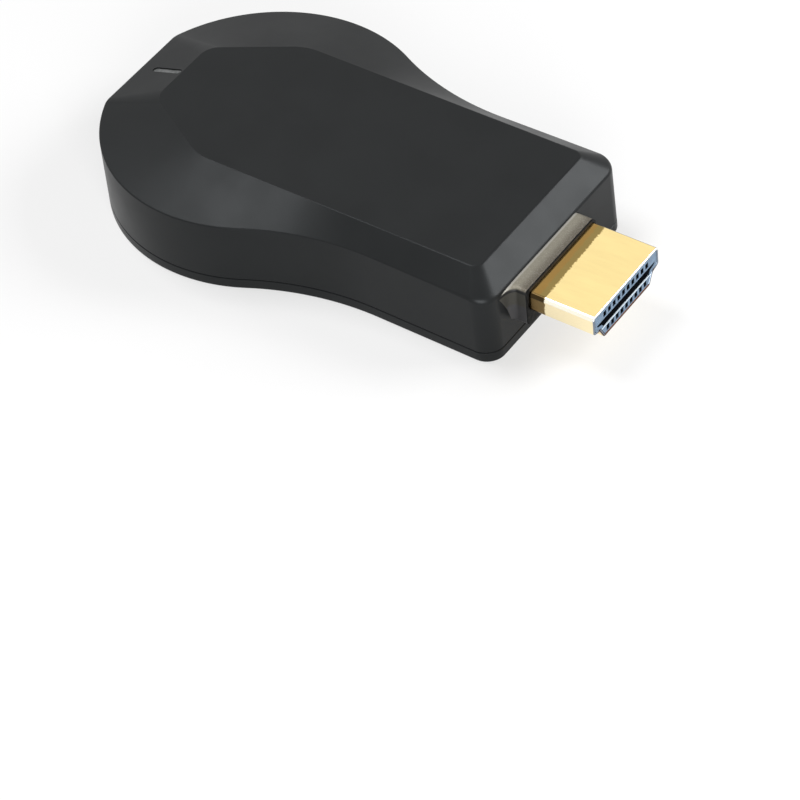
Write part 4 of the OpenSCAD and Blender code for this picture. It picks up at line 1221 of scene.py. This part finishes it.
class STICK_OT_collar(bpy.types.Operator):
    """Make the collar round the plug's root and its black seal"""

    bl_idname = "stick.collar"
    bl_label = "Collar"

    def execute(self, context):
        scene = context.scene
        plug, collar, wall = scene.stick_plug, scene.stick_collar, scene.stick_case.wall
        top = plug.middle_z + plug.height / 2 + collar.slip + collar.thickness
        coat = satin_collar(scene.stick_colours, FRONT_X + collar.out, top)
        back = -wall - collar.slip - collar.flange_depth
        outer = collar.slip + collar.thickness
        ring = skinned("collar_sleeve", self.rings(plug, collar, outer, back))
        finished(smooth(ring, 40), coat, "plug_collar")
        rim, mouth, edge = outer + collar.seal_proud, collar.out + collar.seal, collar.seal_edge
        bore = rounded(plug_outline(plug, collar.slip), plug.radius)
        steps = [(collar.out, 0), (mouth - edge, 0), (mouth - 0.3 * edge, 0.3 * edge), (mouth, edge)]
        rings = [
            profile_ring(rounded(collar_outline(plug, rim - inset), collar_corners(collar, -inset)), x)
            for x, inset in steps
        ]
        rings += [profile_ring(bore, mouth), profile_ring(bore, collar.out)]
        seal = smooth(skinned("collar_gasket", rings), 40)
        finished(seal, finish("seal black"), "collar_seal")
        return {"FINISHED"}

    def outline(self, plug, collar, amount, flange=0.0):
        """The collar's outline, its sides parted at the plug's middle, below which a flange stands out."""
        points = rounded(collar_outline(plug, amount), collar_corners(collar))
        wide = rounded(collar_outline(plug, amount + flange), collar_corners(collar))
        end = len(points) // 2
        for i in (*range(4), *range(end - 4, end)):
            points[i].y = wide[i].y = plug.middle_z
        return [wide[i] if i < 2 or i >= end - 2 else points[i] for i in range(len(points))]

    def rings(self, plug, collar, outer, back):
        """Rings of the collar: back to mouth outside with the near side's hollow foot, then the bore."""
        near, tall = plug.middle_y - plug.width / 2 - outer, plug.height + 2 * outer
        low = plug.middle_z - tall / 2
        shoulder, foot = back + collar.flange_depth, -collar.foot_sunk
        steps = [(shoulder, 0, 0), (foot, 0, 0), (foot, 0, collar.foot_width)]
        for k in range(9):
            hollow = 1 - math.sqrt(1 - (1 - k / 8) ** 2)
            steps.append((collar.foot_depth * k / 8, 0, collar.foot_width * hollow))
        for k in range(5):
            angle = math.pi / 2 * k / 4
            x = collar.out - collar.edge * (1 - math.sin(angle))
            steps.append((x, -collar.edge * (1 - math.cos(angle)), 0))
        rings = [
            profile_ring(self.outline(plug, collar, outer, collar.flange_height), x) for x in (back, shoulder)
        ]
        for x, amount, spread in steps:
            outline = self.outline(plug, collar, outer + amount)
            shares = []
            for p in outline:
                inward = (near + collar.radius - p.x) / collar.radius
                rise = math.sqrt(max(0, p.y - low) / tall)
                shares.append(max(0, min(1, inward, rise)))
            rings.append([Vector((x, p.x - spread * share, p.y)) for p, share in zip(outline, shares)])
        bore = rounded(plug_outline(plug, collar.slip), plug.radius)
        return [*rings, profile_ring(bore, collar.out), profile_ring(bore, back)]


class STICK_OT_socket(bpy.types.Operator):
    """Make the power socket's shell, tongue and pins"""

    bl_idname = "stick.socket"
    bl_label = "Power socket"

    def execute(self, context):
        scene = context.scene
        socket = scene.stick_socket
        mouth = -scene.stick_case.length + socket.back
        back = mouth + socket.length
        metal, lip, rise, bevel = socket.metal, socket.lip, socket.lip_rise, socket.lip_bevel
        steps = [
            (mouth + rise, lip), (mouth + lip - bevel, lip), (mouth + lip, lip - bevel),
            (mouth + lip + socket.lip_flare, 0), (back, 0), (back, -metal), (mouth + metal, -metal),
            (mouth + rise, lip - socket.lip_rim), (mouth, lip - socket.lip_rim / 2),
        ]
        rings = [
            profile_ring(rounded(socket_outline(socket, out), max(socket.radius + out, 0.1 * MM)), x)
            for x, out in steps
        ]
        shell = smooth(skinned("power_socket_shell", rings), 40)
        finished(shell, finish("tinned steel"), "socket_shell")
        middle = socket.top_z - socket.height / 2
        slip = scene.stick_collar.slip
        plugged = prism(
            "power_socket_tongue", rounded(socket_outline(socket, -socket.metal - slip), socket.radius / 2),
            "X", back - socket.block, back,
        )
        half, tongue_z = socket.tongue_width / 2, socket.tongue_height / 2
        tip = back - socket.block - socket.tongue_length
        tongue = block("tongue", (tip, -half, middle - tongue_z), (back - MM, half, middle + tongue_z))
        joined(plugged, [tongue], "UNION")
        smooth(plugged, 30, 2 * FINE_EDGE, 2)
        finished(plugged, finish("moulded dark"), "socket_tongue")
        pins_low, pins_high = span("socket_contacts")
        y, half = -(socket.pins - 1) / 2 * socket.pitch, socket.pin_width / 2
        pin = block(
            "power_socket_pins", (pins_low.x, y - half, pins_low.z),
            (back - socket.block, y + half, pins_low.z + socket.pin_metal),
        )
        low = (back, y - half, socket.top_z - socket.tail_metal)
        tail = block("tail", low, (pins_high.x, y + half, socket.top_z))
        joined(pin, [tail], "UNION")
        plating = finish("contact plating")
        smooth(pin, 30, FINE_EDGE, 2)
        row(pin, socket.pins, (0, socket.pitch, 0), plating)
        finished(pin, plating, "socket_contacts")
        return {"FINISHED"}


class STICK_OT_button(bpy.types.Operator):
    """Make the function button's cap with its flange"""

    bl_idname = "stick.button"
    bl_label = "Function button"

    def execute(self, context):
        scene = context.scene
        button = scene.stick_button
        low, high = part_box("function_button")
        middle = middle_of("function_button").xz
        turns, face = 5, high.y - button.crown
        steps = [
            (button.flange_length, button.flange_height, low.y),
            (button.flange_length, button.flange_height, low.y + button.flange_depth),
            (button.length, button.height, low.y + button.flange_depth),
        ]
        for k in range(turns + 1):
            angle = math.pi / 2 * k / turns
            inset = 2 * button.edge * (1 - math.cos(angle))
            rise = face - button.edge * (1 - math.sin(angle))
            steps.append((button.length - inset, button.height - inset, rise))
        for share in (0.6, 0.3, 0.1):
            rise = button.crown * (1 - share * share)
            across = (button.height - 2 * button.edge) * share
            steps.append((button.length - button.height + across, across, face + rise))
        rings = []
        for length, height, y in steps:
            ring = stadium(length, height, 8, middle)
            rings.append([Vector((p.x, y, p.y)) for p in ring])
        cap = smooth(skinned("button_cap", rings, "flat"), 40)
        finished(cap, finish("button black"), "function_button", BUTTON)
        return {"FINISHED"}


def softened(node, name, bevel, sharp=30):
    """A merged copy of a CAD node with its flats made whole and its edges rounded."""
    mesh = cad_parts[node].data.copy()
    mesh.name = name
    cleaned(mesh, whole_flats=True)
    return smooth(new_object(name, mesh), sharp, bevel, 2)


class STICK_OT_window(bpy.types.Operator):
    """Make the light window and the blank label"""

    bl_idname = "stick.window"
    bl_label = "Light window and label"

    def execute(self, context):
        guide = softened("light_pipe", "light_window", FINE_EDGE)
        finished(guide, finish("frosted window"), "light_pipe")
        low, high = span("label_blank")
        corners = [Vector(p) for p in ((high.x, high.y), (low.x, high.y), (low.x, low.y), (high.x, low.y))]
        film = prism("blank_label", rounded(corners, MM), "Z", low.z, high.z)
        finished(smooth(film, 30, 0.02 * MM, 2), finish("label film"), "label_blank")
        return {"FINISHED"}


class STICK_OT_inside(bpy.types.Operator):
    """Make the board and the pieces on it, with softened edges and their finishes"""

    bl_idname = "stick.inside"
    bl_label = "Board and its pieces"

    def execute(self, context):
        for node, name, bevel, slot, coat in INNER_PIECES:
            body = BUTTON if node == "switch_plunger" else HOUSING
            finished(softened(node, name, bevel * MM), finish(coat), node, body)
        return {"FINISHED"}


def soft_lamp(name, place, aim, width, radiance):
    """A square soft lamp, its power worked out from its radiance."""
    lamp = bpy.data.lights.new(name, "AREA")
    lamp.shape, lamp.size = "SQUARE", width
    lamp.energy = radiance * math.pi * width * width
    made = new_object(name, lamp)
    made.location = place
    made.rotation_euler = (aim - place).to_track_quat("-Z", "Y").to_euler()
    made.visible_camera = False


def seen_share(tree):
    """One where a ray comes from the camera, a gloss or a clear piece, and zero elsewhere."""
    path = tree.nodes.new("ShaderNodeLightPath").outputs
    seen = path["Is Camera Ray"]
    for label in ("Is Glossy Ray", "Is Transmission Ray"):
        most = add_node(tree, "ShaderNodeMath", {0: seen, 1: path[label]}, operation="MAXIMUM")
        seen = most.outputs["Value"]
    return seen


def pale_world(strength):
    """An even world that lights softly and shows white."""
    world = bpy.data.worlds.new("even light")
    world.use_nodes = True
    tree = world.node_tree
    inputs = {"Value": seen_share(tree), "To Min": strength, "To Max": 1}
    power = add_node(tree, "ShaderNodeMapRange", inputs)
    shade = tree.nodes["Background"].inputs
    shade["Color"].default_value = WHITE
    tree.links.new(power.outputs["Result"], shade["Strength"])
    bpy.context.scene.world = world


def pale_floor(colour, whiteness, half, z):
    """A plain pale floor that keeps the object's shadow, and shows a share of plain white."""
    mesh = bpy.data.meshes.new("floor")
    corners = [(-half, -half, z), (half, -half, z), (half, half, z), (-half, half, z)]
    mesh.from_pydata(corners, [], [(0, 1, 2, 3)])
    material = bpy.data.materials.new("pale floor")
    material.use_nodes = True
    tree = material.node_tree
    tree.nodes.clear()
    matt = add_node(tree, "ShaderNodeBsdfDiffuse", {"Color": (*colour, 1)}).outputs["BSDF"]
    glow = add_node(tree, "ShaderNodeEmission", {"Color": WHITE}).outputs["Emission"]
    part = add_node(tree, "ShaderNodeMath", {0: seen_share(tree), 1: whiteness}, operation="MULTIPLY")
    blend = add_node(tree, "ShaderNodeMixShader", {"Fac": part.outputs["Value"], 1: matt, 2: glow})
    add_node(tree, "ShaderNodeOutputMaterial", {"Surface": blend.outputs["Shader"]})
    mesh.materials.append(material)
    new_object("floor", mesh)


class STICK_OT_stage(bpy.types.Operator):
    """Make the floor, the soft lamps, the world and the camera"""

    bl_idname = "stick.stage"
    bl_label = "Stage"

    def execute(self, context):
        scene = context.scene
        stage, sizes = scene.stick_stage, scene.stick_stage_sizes
        scene.view_settings.view_transform = "Standard"
        pale_world(stage.world)
        pale_floor(scene.stick_colours.floor, stage.floor_white, sizes.floor_half, -sizes.floor_drop)
        aim = Vector((0, 0, sizes.lit_height))
        for name, way in LAMP_WAYS.items():
            lamp, place = f"{name}_lamp", aim + Vector(way) * sizes.lamp_reach
            soft_lamp(f"{name} lamp", place, aim, getattr(sizes, lamp), getattr(stage, lamp))
        azimuth, elevation, roll = map(math.radians, (stage.azimuth, stage.elevation, stage.roll))
        right = Vector((math.cos(azimuth), math.sin(azimuth), 0))
        back = math.cos(elevation) * Vector((right.y, -right.x, 0)) + Vector((0, 0, math.sin(elevation)))
        up = back.cross(right)
        turn = Matrix.Rotation(roll, 3, back)
        right, up = turn @ right, turn @ up
        data = bpy.data.cameras.new("camera")
        data.lens, data.sensor_width, data.clip_start = stage.lens, stage.sensor, sizes.near_clip
        camera = new_object("camera", data)
        place = at(0, 0, 0) - sizes.aim_right * right + sizes.aim_up * up + sizes.distance * back
        axes = Matrix((right, up, back)).transposed().to_4x4()
        camera.matrix_world = Matrix.Translation(place) @ axes
        scene.camera = camera
        return {"FINISHED"}


class STICK_PT_panel(bpy.types.Panel):
    """Lists the stick's pieces in the sidebar"""

    bl_label = "Display stick"
    bl_idname = "STICK_PT_panel"
    bl_space_type = "VIEW_3D"
    bl_region_type = "UI"
    bl_category = "Display stick"

    def draw(self, context):
        for operator in OPERATORS:
            self.layout.operator(operator.bl_idname)
        for name in GROUPS:
            group = getattr(context.scene, name)
            column = self.layout.column(heading=name)
            for label in group.__annotations__:
                column.prop(group, label)


GROUPS = {
    "stick_case": CaseSizes,
    "stick_plate": PlateSizes,
    "stick_plug": PlugSizes,
    "stick_collar": CollarSizes,
    "stick_socket": SocketSizes,
    "stick_button": ButtonSizes,
    "stick_window": WindowSizes,
    "stick_colours": FinishColours,
    "stick_stage": StageSettings,
    "stick_stage_sizes": StageSizes,
}
OPERATORS = (
    STICK_OT_stage,
    STICK_OT_case,
    STICK_OT_plug,
    STICK_OT_collar,
    STICK_OT_socket,
    STICK_OT_button,
    STICK_OT_window,
    STICK_OT_inside,
)


def register():
    for name, group in GROUPS.items():
        bpy.utils.register_class(group)
        setattr(bpy.types.Scene, name, PointerProperty(type=group))
    for operator in OPERATORS:
        bpy.utils.register_class(operator)
    bpy.utils.register_class(STICK_PT_panel)


def unregister():
    bpy.utils.unregister_class(STICK_PT_panel)
    for operator in reversed(OPERATORS):
        bpy.utils.unregister_class(operator)
    for name, group in reversed(GROUPS.items()):
        delattr(bpy.types.Scene, name)
        bpy.utils.unregister_class(group)


def main():
    """Makes every piece in order."""
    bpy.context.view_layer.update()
    register()
    bpy.ops.stick.stage()
    bpy.ops.stick.case()
    bpy.ops.stick.plug()
    bpy.ops.stick.collar()
    bpy.ops.stick.socket()
    bpy.ops.stick.button()
    bpy.ops.stick.window()
    bpy.ops.stick.inside()


if __name__ == "__main__":
    main()
